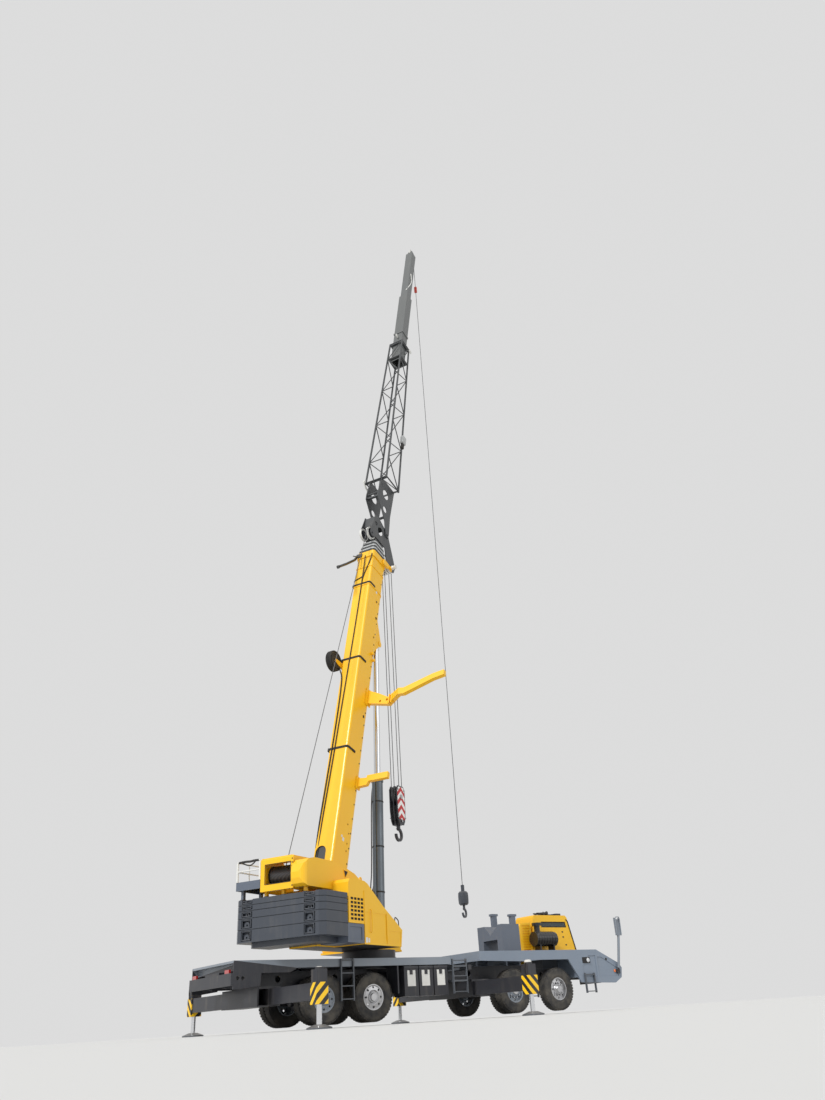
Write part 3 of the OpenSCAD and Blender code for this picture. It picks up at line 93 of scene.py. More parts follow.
# %% The frames that pieces are laid in
SLEW = radians(26.88)
RAISE = radians(75.19)
on_carrier = Matrix.Translation((-1.9, 0, 0))
on_upper = on_carrier @ Matrix.Rotation(SLEW, 4, "Z")
on_boom = on_upper @ Matrix.Translation((-1.98, 0, 3.0)) @ Matrix.Rotation(-RAISE, 4, "Y")
on_jib = on_boom @ Matrix.Translation((12.95, 0, -0.33)) @ Matrix.Rotation(-radians(0.8), 4, "Y")
on_ram = on_upper @ Matrix.Translation((0.6, 0, 2.2)) @ Matrix.Rotation(-radians(87.62), 4, "Y")
print("boom foot in the row frame:", [round(v, 3) for v in on_boom.translation])

# %% [markdown]
# The photograph looks steeply up from close to the ground, with a phone's wide lens and a slight
# roll. The camera's place and angles were fitted to points of the crane whose sizes are known.
# A matrix of its right, up and backward axes sets them without any guesswork about turn order.

# %% Camera
def add_camera(place, heading, pitch, roll, lens):
    ahead = Vector((cos(pitch) * heading[0], cos(pitch) * heading[1], sin(pitch)))
    right = Vector((heading[1], -heading[0], 0)).normalized()
    up = right.cross(ahead)
    right, up = cos(roll) * right - sin(roll) * up, sin(roll) * right + cos(roll) * up
    data = bpy.data.cameras.new("camera")
    data.lens, data.sensor_width = lens, 36
    data.clip_end = 400
    camera = bpy.data.objects.new("camera", data)
    bpy.context.scene.collection.objects.link(camera)
    turn = Matrix((right, up, -ahead)).transposed().to_4x4()
    camera.matrix_world = Matrix.Translation(place) @ turn
    bpy.context.scene.camera = camera
    return camera


camera = add_camera((-15.245, -21.764, 0.039), (0.5838, 0.8119), radians(28.774), radians(3.632), 28.026)
print("camera at", [round(v, 2) for v in camera.location])

# %% [markdown]
# The floor is one pale plane, and the light is a soft studio: a large even surround with one
# broad lamp from the camera's left, so that the boom's faces still differ in brightness. The
# standard view keeps the strong yellow as strong as the paint itself.

# %% Floor and light
def add_sun(name, angle_z, height, power, width):
    data = bpy.data.lights.new(name, "SUN")
    data.energy, data.angle = power, radians(width)
    lamp = bpy.data.objects.new(name, data)
    bpy.context.scene.collection.objects.link(lamp)
    lamp.rotation_euler = (radians(90 - height), 0, radians(angle_z))
    return lamp


world = bpy.data.worlds.new("studio")
bpy.context.scene.world = world
world.use_nodes = True
world.node_tree.nodes["Background"].inputs["Color"].default_value = (0.90, 0.90, 0.90, 1)
world.node_tree.nodes["Background"].inputs["Strength"].default_value = 0.80
bpy.context.scene.view_settings.view_transform = "Standard"
key = add_sun("key", -70, 40, 2.2, 10)
fill = add_sun("fill", 30, 25, 0.35, 40)
bpy.ops.mesh.primitive_plane_add(size=600, location=(0, 0, 0))
floor = bpy.context.object
floor.name = "floor"
print("lights:", key.name, fill.name)

# %% [markdown]
# Effects that many finishes share are node groups: a cut noise mask, and a weathering group that
# fades paint, runs dust down it, chips it and gives it a fine skin. Each material then places
# the group with its own colours. The groups read Object coordinates, so nothing slides.

# %% Shader node helpers
KINDS = {"colour": "NodeSocketColor", "value": "NodeSocketFloat", "vector": "NodeSocketVector"}


def make_group(name, inputs, outputs):
    group = bpy.data.node_groups.new(name, "ShaderNodeTree")
    for title, kind, start in inputs:
        socket = group.interface.new_socket(name=title, in_out="INPUT", socket_type=KINDS[kind])
        socket.default_value = start
    for title, kind in outputs:
        group.interface.new_socket(name=title, in_out="OUTPUT", socket_type=KINDS[kind])
    return group, group.nodes.new("NodeGroupInput"), group.nodes.new("NodeGroupOutput")


def fill_in(tree, node, values):
    """Give a node its inputs: an output is linked, and anything else is a plain value."""
    for name, value in values.items():
        if hasattr(value, "is_output"):
            tree.links.new(value, node.inputs[name])
        else:
            node.inputs[name].default_value = value
    return node


def add(tree, kind, values=None, **settings):
    node = tree.nodes.new(kind)
    for name, value in settings.items():
        setattr(node, name, value)
    return fill_in(tree, node, values or {})


def math_node(tree, operation, a, b=0.0, clamp=False):
    return add(tree, "ShaderNodeMath", {0: a, 1: b}, operation=operation, use_clamp=clamp).outputs[0]


def times(tree, a, b, clamp=False):
    return math_node(tree, "MULTIPLY", a, b, clamp)


def plus(tree, a, b, clamp=False):
    return math_node(tree, "ADD", a, b, clamp)


def mix_colour(tree, amount, a, b):
    return add(tree, "ShaderNodeMix", {0: amount, 6: a, 7: b}, data_type="RGBA").outputs[2]


def object_place(tree):
    return add(tree, "ShaderNodeTexCoord").outputs["Object"]


def split(tree, vector):
    return add(tree, "ShaderNodeSeparateXYZ", {0: vector}).outputs


def ramp(tree, value, low, high):
    return add(tree, "ShaderNodeMapRange", {0: value, 1: low, 2: high}).outputs[0]


def bump(tree, height, strength, distance, under=None):
    values = {"Strength": strength, "Distance": distance, "Height": height}
    if under is not None:
        values["Normal"] = under
    return add(tree, "ShaderNodeBump", values).outputs[0]


print("node helpers ready")

# %% [markdown]
# The mask is a noise cut between two levels. Its Flatten input squeezes the noise along z, which
# draws it out into the upright runs that rain leaves.

# %% Noise mask group
noise_mask, inside, outside = make_group(
    "noise mask",
    [("Scale", "value", 3), ("Low", "value", 0.4), ("High", "value", 0.6), ("Flatten", "value", 1)],
    [("Mask", "value")])
x, y, z = split(noise_mask, object_place(noise_mask))
tall = times(noise_mask, z, inside.outputs["Flatten"])
joined = add(noise_mask, "ShaderNodeCombineXYZ", {0: x, 1: y, 2: tall}).outputs[0]
noise = add(noise_mask, "ShaderNodeTexNoise",
            {"Vector": joined, "Scale": inside.outputs["Scale"], "Detail": 5.0, "Roughness": 0.6})
cut = ramp(noise_mask, noise.outputs["Fac"], inside.outputs["Low"], inside.outputs["High"])
noise_mask.links.new(cut, outside.inputs["Mask"])


def mask(tree, scale, low, high, flatten=1.0):
    values = {"Scale": scale, "Low": low, "High": high, "Flatten": flatten}
    return add(tree, "ShaderNodeGroup", values, node_tree=noise_mask).outputs[0]


print("group:", noise_mask.name)

# %% [markdown]
# Weathering works in layers, as on the real paint. The sun fades it in wide patches, dust settles
# on what faces up and trails down the sides, and small flecks chip through to what lies under it.

# %% Weathering group
weather, inside, outside = make_group(
    "weather",
    [("Paint", "colour", (0.5, 0.5, 0.5, 1)), ("Faded", "colour", (0.4, 0.4, 0.4, 1)),
     ("Dust", "colour", (0.42, 0.36, 0.28, 1)), ("Dust Amount", "value", 0.4),
     ("Bare", "colour", (0.10, 0.07, 0.05, 1)), ("Chips", "value", 0.3), ("Gloss", "value", 0.35),
     ("Skin", "value", 160.0)],
    [("Colour", "colour"), ("Roughness", "value"), ("Normal", "vector")])
given = inside.outputs
wide = mask(weather, 0.45, 0.3, 0.75)
runs = mask(weather, 7.0, 0.48, 0.78, 0.09)
blots = mask(weather, 1.6, 0.42, 0.72)
flecks = mask(weather, 42.0, 0.66, 0.69)
patches = mask(weather, 2.6, 0.55, 0.62)
faded = mix_colour(weather, times(weather, wide, 0.55), given["Paint"], given["Faded"])
facing = split(weather, add(weather, "ShaderNodeNewGeometry").outputs["Normal"])
top = ramp(weather, facing[2], 0.35, 0.95)
settled = times(weather, top, plus(weather, times(weather, blots, 0.5), 0.35))
trails = times(weather, times(weather, runs, blots), 0.55)
dusty = times(weather, plus(weather, settled, trails), given["Dust Amount"], True)
dusted = mix_colour(weather, dusty, faded, given["Dust"])
chipped = times(weather, times(weather, flecks, patches), given["Chips"], True)
skin = add(weather, "ShaderNodeTexNoise",
           {"Vector": object_place(weather), "Scale": given["Skin"], "Detail": 2.0})
height = math_node(weather, "SUBTRACT", skin.outputs["Fac"], times(weather, chipped, 2.0))
fill_in(weather, outside, {
    "Colour": mix_colour(weather, chipped, dusted, given["Bare"]),
    "Roughness": plus(weather, given["Gloss"], times(weather, dusty, 0.35), True),
    "Normal": bump(weather, height, 0.12, 0.002)})
print("group:", weather.name, len(weather.nodes), "nodes")

# %% [markdown]
# The real crane has a hard two-pack paint in a few colours. All of them weather alike, so one
# function makes each paint from its own colour, its faded colour, its dust and its gloss.

# %% Paint maker
def new_material(name):
    material = bpy.data.materials.new(name)
    material.use_nodes = True
    tree = material.node_tree
    return material, tree, tree.nodes["Principled BSDF"]


def worn_paint(tree, shader, values, tint=None):
    """Place the weathering group with its values, and link it to the shader."""
    worn = add(tree, "ShaderNodeGroup", values, node_tree=weather).outputs
    colour = tint(worn["Colour"]) if tint else worn["Colour"]
    fill_in(tree, shader, {"Base Color": colour, "Roughness": worn["Roughness"], "Normal": worn["Normal"]})


def paint(name, colour, faded, gloss=0.34, dust=0.4, chips=0.3, coat=0.25, skin=160.0, metallic=0.0,
          bare=(0.10, 0.07, 0.05)):
    material, tree, shader = new_material(name)
    values = {"Paint": (*colour, 1), "Faded": (*faded, 1), "Bare": (*bare, 1), "Gloss": gloss, "Skin": skin}
    worn_paint(tree, shader, {**values, "Dust Amount": dust, "Chips": chips})
    fill_in(tree, shader, {"Coat Weight": coat, "Coat Roughness": 0.12, "Metallic": metallic})
    return material


print("paint maker ready")

# %% [markdown]
# The colours were set against the photograph, one surface at a time. Yellow covers the crane's own steel,
# slate and greys the carrier and the weights, and a near black the frame.

# %% Paints
# Columns: colour, faded colour, gloss, dust, chips, coat, skin grain, metallic, bare colour
PAINT_TABLE = {
    "yellow_paint": ((0.93, 0.53, 0.006), (0.86, 0.44, 0.008), 0.42, 0.10, 0.16, 0.12),
    "cowl_paint": ((0.205, 0.250, 0.315), (0.17, 0.205, 0.255), 0.42, 0.30, 0.30, 0.15),
    "pale_grey_paint": ((0.225, 0.255, 0.295), (0.18, 0.205, 0.235), 0.42, 0.35, 0.35, 0.15),
    "box_paint": ((0.105, 0.128, 0.170), (0.095, 0.110, 0.140), 0.42, 0.30, 0.35, 0.15),
    "slate_paint": ((0.041, 0.049, 0.064), (0.056, 0.064, 0.080), 0.42, 0.30, 0.60, 0.15),
    "grey_paint": ((0.090, 0.100, 0.115), (0.072, 0.080, 0.092), 0.42, 0.35, 0.35, 0.15),
    # Near black paint of the frame and fittings, also used as painted shade under the turntable.
    "dark_paint": ((0.019, 0.020, 0.027), (0.032, 0.033, 0.038), 0.45, 0.40, 0.40, 0.12),
    "white_paint": ((0.74, 0.74, 0.71), (0.62, 0.61, 0.57), 0.4, 0.3, 0.25),
    "seat_plastic": ((0.03, 0.03, 0.032), (0.045, 0.045, 0.045), 0.6, 0.3, 0.0, 0.0, 400.0),
    "iron": ((0.10, 0.095, 0.09), (0.14, 0.11, 0.09), 0.55, 0.5, 0.9, 0.0, 90.0, 0.6, (0.20, 0.07, 0.03)),
    # Dark grey of the jib and the boom head, also used as painted shade in the gaps behind the boom's
    # collars.
    "jib_grey_and_gap_shade": ((0.040, 0.044, 0.048), (0.058, 0.060, 0.060), 0.42, 0.30, 0.45, 0.12),
    "collar_paint": ((0.42, 0.43, 0.43), (0.34, 0.35, 0.35), 0.36, 0.35, 0.4),
    "tube_paint": ((0.105, 0.112, 0.112), (0.090, 0.092, 0.088), 0.40, 0.30, 0.40, 0.15),
    "signal_red": ((0.55, 0.035, 0.015), (0.48, 0.05, 0.03), 0.45, 0.3, 0.3, 0.1),
    "gloss_black": ((0.008, 0.008, 0.010), (0.016, 0.016, 0.018), 0.24, 0.18, 0.1, 0.35),
    # Near black for the winch seal and the lamp frame, and painted shade in holes, openings, recesses and
    # under the covers.
    "black_seal_and_shade": ((0.012, 0.012, 0.013), (0.02, 0.02, 0.02), 0.7, 0.2, 0.0, 0.0),
    "amber_lens": ((0.75, 0.16, 0.01), (0.65, 0.13, 0.01), 0.15, 0.15, 0.0, 1.0, 300.0),
    "red_lens": ((0.42, 0.01, 0.01), (0.36, 0.012, 0.012), 0.15, 0.15, 0.0, 1.0, 300.0),
    "clear_lens": ((0.62, 0.64, 0.66), (0.55, 0.57, 0.58), 0.08, 0.1, 0.0, 1.0, 300.0),
}
PAINTS = {name: paint(name, *values) for name, values in PAINT_TABLE.items()}
print("paints:", len(PAINTS))

# %% [markdown]
# Steel rods, rubber and rope each need a different skin. A ground rod has fine rings round it,
# rubber is matt with dust in its grain, and a rope shows its strands as slanting ridges.

# %% Steel, rubber and rope
def fine_bump(tree, scale, detail, strength, distance):
    values = {"Vector": object_place(tree), "Scale": scale, "Detail": detail}
    grain = add(tree, "ShaderNodeTexNoise", values).outputs["Fac"]
    return bump(tree, grain, strength, distance)


def darker(colour, share):
    return (*[c * share for c in colour], 1)


def metal(name, colour, gloss, ring_scale):
    material, tree, shader = new_material(name)
    smear = mask(tree, 2.2, 0.35, 0.8, 0.3)
    fill_in(tree, shader, {
        "Base Color": mix_colour(tree, smear, (*colour, 1), darker(colour, 0.72)),
        "Roughness": plus(tree, times(tree, smear, 0.16), gloss),
        "Normal": fine_bump(tree, ring_scale, 3.0, 0.05, 0.001), "Metallic": 1.0})
    return material


def rubber(name, colour, dust):
    material, tree, shader = new_material(name)
    grime = mask(tree, 5.0, 0.35, 0.75)
    fill_in(tree, shader, {
        "Base Color": mix_colour(tree, times(tree, grime, dust), (*colour, 1), (0.16, 0.14, 0.11, 1)),
        "Roughness": plus(tree, times(tree, grime, 0.15), 0.68),
        "Normal": fine_bump(tree, 190.0, 4.0, 0.25, 0.002)})
    return material


def rope(name, colour):
    material, tree, shader = new_material(name)
    waves = {"Vector": object_place(tree), "Scale": 12.0, "Distortion": 0.6}
    wave = add(tree, "ShaderNodeTexWave", waves, wave_type="BANDS", bands_direction="DIAGONAL")
    strand = wave.outputs["Fac"]
    # The grooves between the strands are darker than the strands: painted shade in the grooves.
    fill_in(tree, shader, {
        "Base Color": mix_colour(tree, strand, darker(colour, 0.45), (*colour, 1)),
        "Roughness": plus(tree, times(tree, strand, 0.1), 0.4),
        "Normal": bump(tree, strand, 0.7, 0.004), "Metallic": 0.7})
    return material


PAINTS["steel"] = metal("steel", (0.52, 0.52, 0.53), 0.30, 130.0)
PAINTS["chrome"] = metal("chrome", (0.80, 0.81, 0.83), 0.10, 320.0)
PAINTS["barrel_paint"] = metal("barrel_paint", (0.17, 0.19, 0.21), 0.30, 90.0)
PAINTS["tyre"] = rubber("tyre", (0.018, 0.018, 0.019), 0.55)
PAINTS["hose"] = rubber("hose", (0.012, 0.012, 0.013), 0.25)
PAINTS["rope_steel"] = rope("rope_steel", (0.16, 0.16, 0.165))
print("finishes:", len(PAINTS))

# %% [markdown]
# Stripes warn people off the jacks and the swinging block. They are patterns in the material:
# a slanted or folded coordinate, cut to two levels, so that their edges stay crisp at any size.

# %% Stripes and chevrons
def striped(name, first, second, lean, period, centre=(0, 0, 0), fold=False):
    """Bands that rise along z while a point moves along lean in x and y, or both ways if folded."""
    material, tree, shader = new_material(name)
    moved = add(tree, "ShaderNodeMapping", {"Vector": object_place(tree), "Location": [-c for c in centre]})
    x, y, z = split(tree, moved.outputs[0])
    slope = plus(tree, times(tree, x, lean[0]), times(tree, y, lean[1]))
    if fold:
        slope = times(tree, math_node(tree, "ABSOLUTE", slope), -1.0)
    bands = math_node(tree, "DIVIDE", math_node(tree, "SUBTRACT", z, slope), period)
    half = math_node(tree, "GREATER_THAN", math_node(tree, "FRACT", bands), 0.5)
    tone = mix_colour(tree, half, (*first, 1), (*second, 1))
    wear = times(tree, mask(tree, 24.0, 0.62, 0.67), 0.25)
    values = {"Paint": tone, "Faded": tone, "Gloss": 0.4, "Dust Amount": 0.25, "Chips": 0.25}
    worn_paint(tree, shader, values, lambda colour: mix_colour(tree, wear, colour, (0.2, 0.19, 0.17, 1)))
    return material


STRIPE_YELLOW, STRIPE_BLACK = (0.93, 0.56, 0.010), (0.018, 0.018, 0.02)
HAZARDS = {"rear_right": (1, -1), "front_right": (-1, 1), "rear_left": (1, 1), "front_left": (-1, -1)}
for corner, lean in HAZARDS.items():
    name = f"hazard_{corner}"
    PAINTS[name] = striped(name, STRIPE_YELLOW, STRIPE_BLACK, lean, 0.26)
print("striped:", len(HAZARDS))

# %% [markdown]
# Decks of this kind are painted plate with a raised pattern under foot. A bump made from two
# crossed waves stands for it, turned by half a right angle.

# %% Deck plate
def deck_plate(name, colour, faded):
    material = paint(name, colour, faded, 0.5, 0.8, 0.6)
    tree = material.node_tree
    shader = tree.nodes["Principled BSDF"]
    slant = {"Vector": object_place(tree), "Rotation": (0, 0, radians(45))}
    x, y, z = split(tree, add(tree, "ShaderNodeMapping", slant).outputs[0])
    waves = [math_node(tree, "SINE", times(tree, way, 150.0)) for way in (x, y)]
    ridge = math_node(tree, "GREATER_THAN", times(tree, *waves), 0.55)
    skin = shader.inputs["Normal"].links[0].from_socket
    fill_in(tree, shader, {"Normal": bump(tree, ridge, 0.5, 0.004, skin)})
    return material


PAINTS["deck_plate"] = deck_plate("deck_plate", (0.19, 0.20, 0.20), (0.15, 0.15, 0.15))
print("deck:", PAINTS["deck_plate"].name)

# %% [markdown]
# The floor isn't part of the crane. It is a plain pale studio ground, declared as stage.

# %% Floor finish
floor_paint, tree, shader = new_material("floor_paint")
fill_in(tree, shader, {"Base Color": (0.62, 0.62, 0.61, 1), "Roughness": 0.8})
floor.data.materials.append(floor_paint)
floor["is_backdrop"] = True
print("floor laid")

# %% [markdown]
# Each CAD node takes its finish from a table. Some have a second finish on the real crane, and
# their faces get it one by one, from where each face's middle is.

# %% Finish the CAD nodes
def dress(name, finishes, choose=None):
    mesh = nodes[name].data
    mesh.materials.clear()
    for finish in finishes:
        mesh.materials.append(PAINTS[finish])
    for face in mesh.polygons:
        face.material_index = int(choose(face)) if choose else 0


DRESS = {
    "dark_paint": "chassis_frame outrigger_boxes side_boxes axle_beams winch_drum hook_block",
    "grey_paint": "access_steps engine_block",
    "yellow_paint": "carrier_cab cab_door winch_housing operator_cab operator_door",
    "seat_plastic": "cab_interior operator_interior", "box_paint": "boom_rest hydraulic_box",
    "slate_paint": "counterweight", "jib_grey_and_gap_shade": "boom_head jib_lattice", "tube_paint": "jib_tube",
    "barrel_paint": "lift_barrel", "chrome": "lift_rod", "rope_steel": "hook_falls",
    "white_paint": "jib_sheave",
}
for finish, names in DRESS.items():
    for name in names.split():
        dress(name, [finish])
for name in sorted(nodes):
    if name.startswith("knuckle"):
        dress(name, ["iron"])
print("finishes placed:", len(DRESS))

# %% [markdown]
# On the carrier, the jack cases have striped sides, the jacks stand on grey floats, each wheel is
# rubber with a steel or painted middle, and the decks have plate on top.

# %% Carrier nodes with a second finish
AXLE_X = (5.58, 3.95, -0.66, -2.06)
HUB_Z = 0.62


def on_case(f):
    return 0.46 < f.center.z < 0.91 and abs(f.center.y) > 3.1 and abs(f.normal.z) < 0.5


def deck_finish(f):
    if f.normal.z > 0.9 and f.center.z > 1.4:
        return 1
    return 2 if f.center.z > 1.37 else 0


def lamp_finish(f):
    return 2 if f.center.x < -5 else f.center.z > 1.98 and f.center.y < -1.4


for corner in HAZARDS:
    dress(f"outrigger_{corner}", ["dark_paint", f"hazard_{corner}"], on_case)
    dress(f"jack_{corner}", ["chrome", "grey_paint"], lambda f: f.center.z < 0.095)
for axle, x in enumerate(AXLE_X):
    middle = on_carrier @ Vector((x, 0, HUB_Z))
    for word in ("left", "right"):
        dress(f"wheel_{axle + 1}_{word}", ["tyre", "pale_grey_paint" if axle % 2 else "steel"],
              lambda f: Vector((f.center.x - middle.x, f.center.z - middle.z)).length < 0.292)
dress("rear_deck", ["dark_paint", "deck_plate", "pale_grey_paint"], deck_finish)
dress("front_cowl", ["cowl_paint", "deck_plate"], lambda f: f.normal.z > 0.9 and f.center.z > 1.6)
dress("air_cleaner", ["gloss_black", "yellow_paint"], lambda f: f.center.y > 0.434)
dress("lamps_mirrors", ["dark_paint", "pale_grey_paint", "red_lens"], lamp_finish)
print("carrier finished")

# %% [markdown]
# On the upper works and the boom a face is chosen by its place along the turned frame or along the raised
# boom, so its middle is carried into that frame first. The sheaves over the boom's back have pale rims, and
# each collar of the boom has a pale lip. Several dark faces here are painted shade: the underside of the
# turntable and of the covers, the recess behind the cover's screen, the opening at the boom's foot and the
# gaps behind the collars.

# %% Upper nodes with a second finish
from_upper = on_upper.inverted()
from_boom = on_boom.inverted()


def line_finish(f):
    """A red sleeve near the top of the line, and the weight at its foot."""
    return 1 if 31.49 < f.center.z < 31.81 else 2 * (f.center.z < 4.0)


# The cover's underside and the recess behind its screen take the near-black finish: painted shade under the
# cover and behind the screen.
def cover_finish(p):
    behind_screen = -2.885 < p.x < -2.265 and -1.286 < p.y < -1.25 and 2.245 < p.z < 2.805
    return p.z < 1.76 or behind_screen


def sheave_finish(p):
    return p.z > 0.2 and Vector((p.x - 12.38, p.z - 0.52)).length < 0.175


# Slot 2 is near black: painted shade inside the opening at the boom's foot. Slot 1 is the collars' pale
# paint.
def base_finish(p):
    return 1 if p.x > 11.53 else 2 * (0.6 < p.x < 1.2 and abs(p.y) < 0.3 and p.z < 0.3)


def bracket_finish(p):
    at_reel = p.y > 0.36 and 6.65 < p.x < 7.4 and p.z > 0.37
    at_arm = p.z > 0.46 and p.x > 9.9
    return at_reel or at_arm


def dress_by(inverse, name, finishes, choose):
    dress(name, finishes, lambda f: choose(inverse @ f.center))


dress("platform_rails", ["white_paint", "box_paint"], lambda f: f.center.z < 3.2905)
dress("ball_line", ["rope_steel", "signal_red", "slate_paint"], line_finish)
dress_by(from_upper, "machinery_covers", ["yellow_paint", "black_seal_and_shade"], cover_finish)
# Below 1.76 m the turntable is dark: the ring's own dark paint, and painted shade under the upper works.
dress_by(from_upper, "turntable_frame", ["yellow_paint", "dark_paint"], lambda p: p.z < 1.76)
dress_by(from_boom, "head_sheaves", ["white_paint", "dark_paint"], sheave_finish)
dress_by(from_boom, "boom_base", ["yellow_paint", "collar_paint", "black_seal_and_shade"], base_finish)
dress_by(from_boom, "boom_brackets", ["yellow_paint", "jib_grey_and_gap_shade"], bracket_finish)
# Behind each collar's pale lip the section is dark grey: painted shade in the gap between the collars.
for k in range(1, 5):
    lip = 11.525 + 0.18 * k
    dress_by(from_boom, f"boom_section_{k}", ["jib_grey_and_gap_shade", "collar_paint"], lambda p: p.x > lip)
print("upper works finished")

# %% [markdown]
# Small parts are modelled by operators in their own straight frame: a primitive at its size,
# shaped in edit mode, then laid in place with its frame's matrix, so that the finished object
# sits at the origin. These helpers keep each later cell short.

# %% Blocks and discs
def clear_selection():
    if bpy.context.object and bpy.context.object.mode != "OBJECT":
        bpy.ops.object.mode_set(mode="OBJECT")
    bpy.ops.object.select_all(action="DESELECT")


def keep_place(name):
    piece = bpy.context.object
    piece.name = name
    bpy.ops.object.transform_apply(location=True, rotation=True, scale=True)
    return piece


def edit_all():
    bpy.ops.object.mode_set(mode="EDIT")
    bpy.ops.mesh.select_all(action="SELECT")


def leave_edit():
    bpy.ops.object.mode_set(mode="OBJECT")


def block(name, low, high, bevel=0.004, segments=1):
    clear_selection()
    middle = [(a + b) / 2 for a, b in zip(low, high)]
    size = [b - a for a, b in zip(low, high)]
    bpy.ops.mesh.primitive_cube_add(size=1, location=middle, scale=size)
    piece = keep_place(name)
    edit_all()
    bpy.ops.mesh.bevel(offset=min(bevel, 0.3 * min(size)), segments=segments, affect="EDGES")
    leave_edit()
    return piece


def disc(name, middle, axis, radius, depth, bevel=0.003, sides=24):
    """A cylinder whose two rims are bevelled: the edges that lie across its axis."""
    clear_selection()
    turn = Vector((0, 0, 1)).rotation_difference(Vector(axis)).to_euler()
    bpy.ops.mesh.primitive_cylinder_add(vertices=sides, radius=radius, depth=depth, location=middle,
                                        rotation=turn)
    piece = keep_place(name)
    bpy.ops.object.mode_set(mode="EDIT")
    bpy.ops.mesh.select_all(action="DESELECT")
    leave_edit()
    way = Vector(axis).normalized()
    for edge in piece.data.edges:
        ends = [piece.data.vertices[i].co for i in edge.vertices]
        edge.select = abs((ends[0] - ends[1]).dot(way)) < 1e-4
    bpy.ops.object.mode_set(mode="EDIT")
    bpy.ops.mesh.select_mode(type="EDGE")
    bpy.ops.mesh.bevel(offset=min(bevel, 0.3 * depth, 0.3 * radius), segments=2, affect="EDGES")
    leave_edit()
    return piece


print("blocks and discs ready")

# %% [markdown]
# A round part is a profile that is spun, and a sheet is an outline that is filled. Both begin as a
# plane merged to one point, which is extruded from place to place. A hose or a rope is a curve
# with a round section, turned into a mesh.

# %% Outlines, spun shapes and pipes
def drawn(name, points, filled=False):
    """A line through the points, and the face inside it if filled. The select mode is put back."""
    clear_selection()
    settings = bpy.context.tool_settings
    mode = settings.mesh_select_mode[:]
    bpy.ops.mesh.primitive_plane_add(size=0.1, location=points[0])
    piece = keep_place(name)
    bpy.ops.object.mode_set(mode="EDIT")
    bpy.ops.mesh.select_mode(type="VERT")
    bpy.ops.mesh.select_all(action="SELECT")
    bpy.ops.mesh.merge(type="CENTER")
    for here, there in zip(points, points[1:]):
        step = [b - a for a, b in zip(here, there)]
        bpy.ops.mesh.extrude_vertices_move(TRANSFORM_OT_translate={"value": step})
    if filled:
        bpy.ops.mesh.select_all(action="SELECT")
        bpy.ops.mesh.edge_face_add()
    leave_edit()
    settings.mesh_select_mode = mode
    return piece


def turned(name, profile, middle, axis, steps=32):
    """A shape spun round an axis: profile is pairs of radius and place along the axis."""
    way = Vector(axis).normalized()
    side = way.orthogonal().normalized()
    start = Vector(middle)
    piece = drawn(name, [start + side * r + way * h for r, h in profile])
    edit_all()
    bpy.ops.mesh.spin(steps=steps, angle=tau, center=start, axis=way)
    bpy.ops.mesh.select_all(action="SELECT")
    bpy.ops.mesh.remove_doubles(threshold=0.0004)
    bpy.ops.mesh.normals_make_consistent(inside=False)
    leave_edit()
    return piece


def thicken(piece, thick):
    wall = piece.modifiers.new("wall", "SOLIDIFY")
    wall.thickness, wall.offset = thick, 0
    bpy.ops.object.modifier_apply(modifier="wall")
    return piece


def pipe(name, points, radius, sides=3, smooth=True):
    """A hose, rope or bent bar through points."""
    clear_selection()
    curve = bpy.data.curves.new(name, "CURVE")
    curve.dimensions = "3D"
    curve.bevel_depth, curve.bevel_resolution, curve.resolution_u = radius, sides, 6
    curve.use_fill_caps = True
    line = curve.splines.new("NURBS" if smooth else "POLY")
    line.points.add(len(points) - 1)
    for point, place in zip(line.points, points):
        point.co = (*place, 1)
    if smooth:
        line.use_endpoint_u = True
        line.order_u = min(3, len(points))
    piece = bpy.data.objects.new(name, curve)
    bpy.context.scene.collection.objects.link(piece)
    bpy.context.view_layer.objects.active = piece
    piece.select_set(True)
    bpy.ops.object.convert(target="MESH")
    return bpy.context.object


print("outlines and pipes ready")

# %% [markdown]
# Parts of one fitting are joined under one name, and laying a piece puts it in its frame, gives it its
# finish and smooth sides and lets it ride on its body.

# %% Copying, joining and laying
CARRIER, UPPER, HOOK = (on_carrier, "carrier"), (on_upper, "upperworks"), (on_upper, "hook")
BOOM, RAM, JIB = (on_boom, "boom_base"), (on_ram, "lift_barrel"), (on_jib, "jib")


def shift(x, y, z):
    return Matrix.Translation((x, y, z))


def joined_as(name, pieces):
    clear_selection()
    for piece in pieces:
        piece.select_set(True)
    bpy.context.view_layer.objects.active = pieces[0]
    if len(pieces) > 1:
        bpy.ops.object.join()
    pieces[0].name = name
    return pieces[0]


def repeated(name, piece, places):
    """One object made of copies of a piece, each with its own mesh, at the given matrices."""
    copies = []
    for place in places:
        copy = piece.copy()
        copy.data = piece.data.copy()
        copy.data.transform(place)
        bpy.context.scene.collection.objects.link(copy)
        copies.append(copy)
    bpy.data.objects.remove(piece)
    return joined_as(name, copies)


def finished(piece, matrix, finish):
    """Lay the piece in its frame, give it the finish as its one material and shade it smooth by angle."""
    piece.data.transform(matrix)
    piece.data.materials.clear()
    piece.data.materials.append(PAINTS[finish])
    clear_selection()
    piece.select_set(True)
    bpy.context.view_layer.objects.active = piece
    bpy.ops.object.shade_smooth_by_angle(angle=radians(35))
    return piece


def lay(name, pieces, place, finish):
    """Join pieces and lay them: place is a frame's matrix with the body that they ride on."""
    matrix, body = place
    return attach(finished(joined_as(name, pieces), matrix, finish), body)


# %% [markdown]
# The tyres are road tyres with deep blocks, and each wheel has a ring of nuts and a flat hub cap.
# One tread block and one nut are modelled, then copied round the wheel's axis with a matrix.

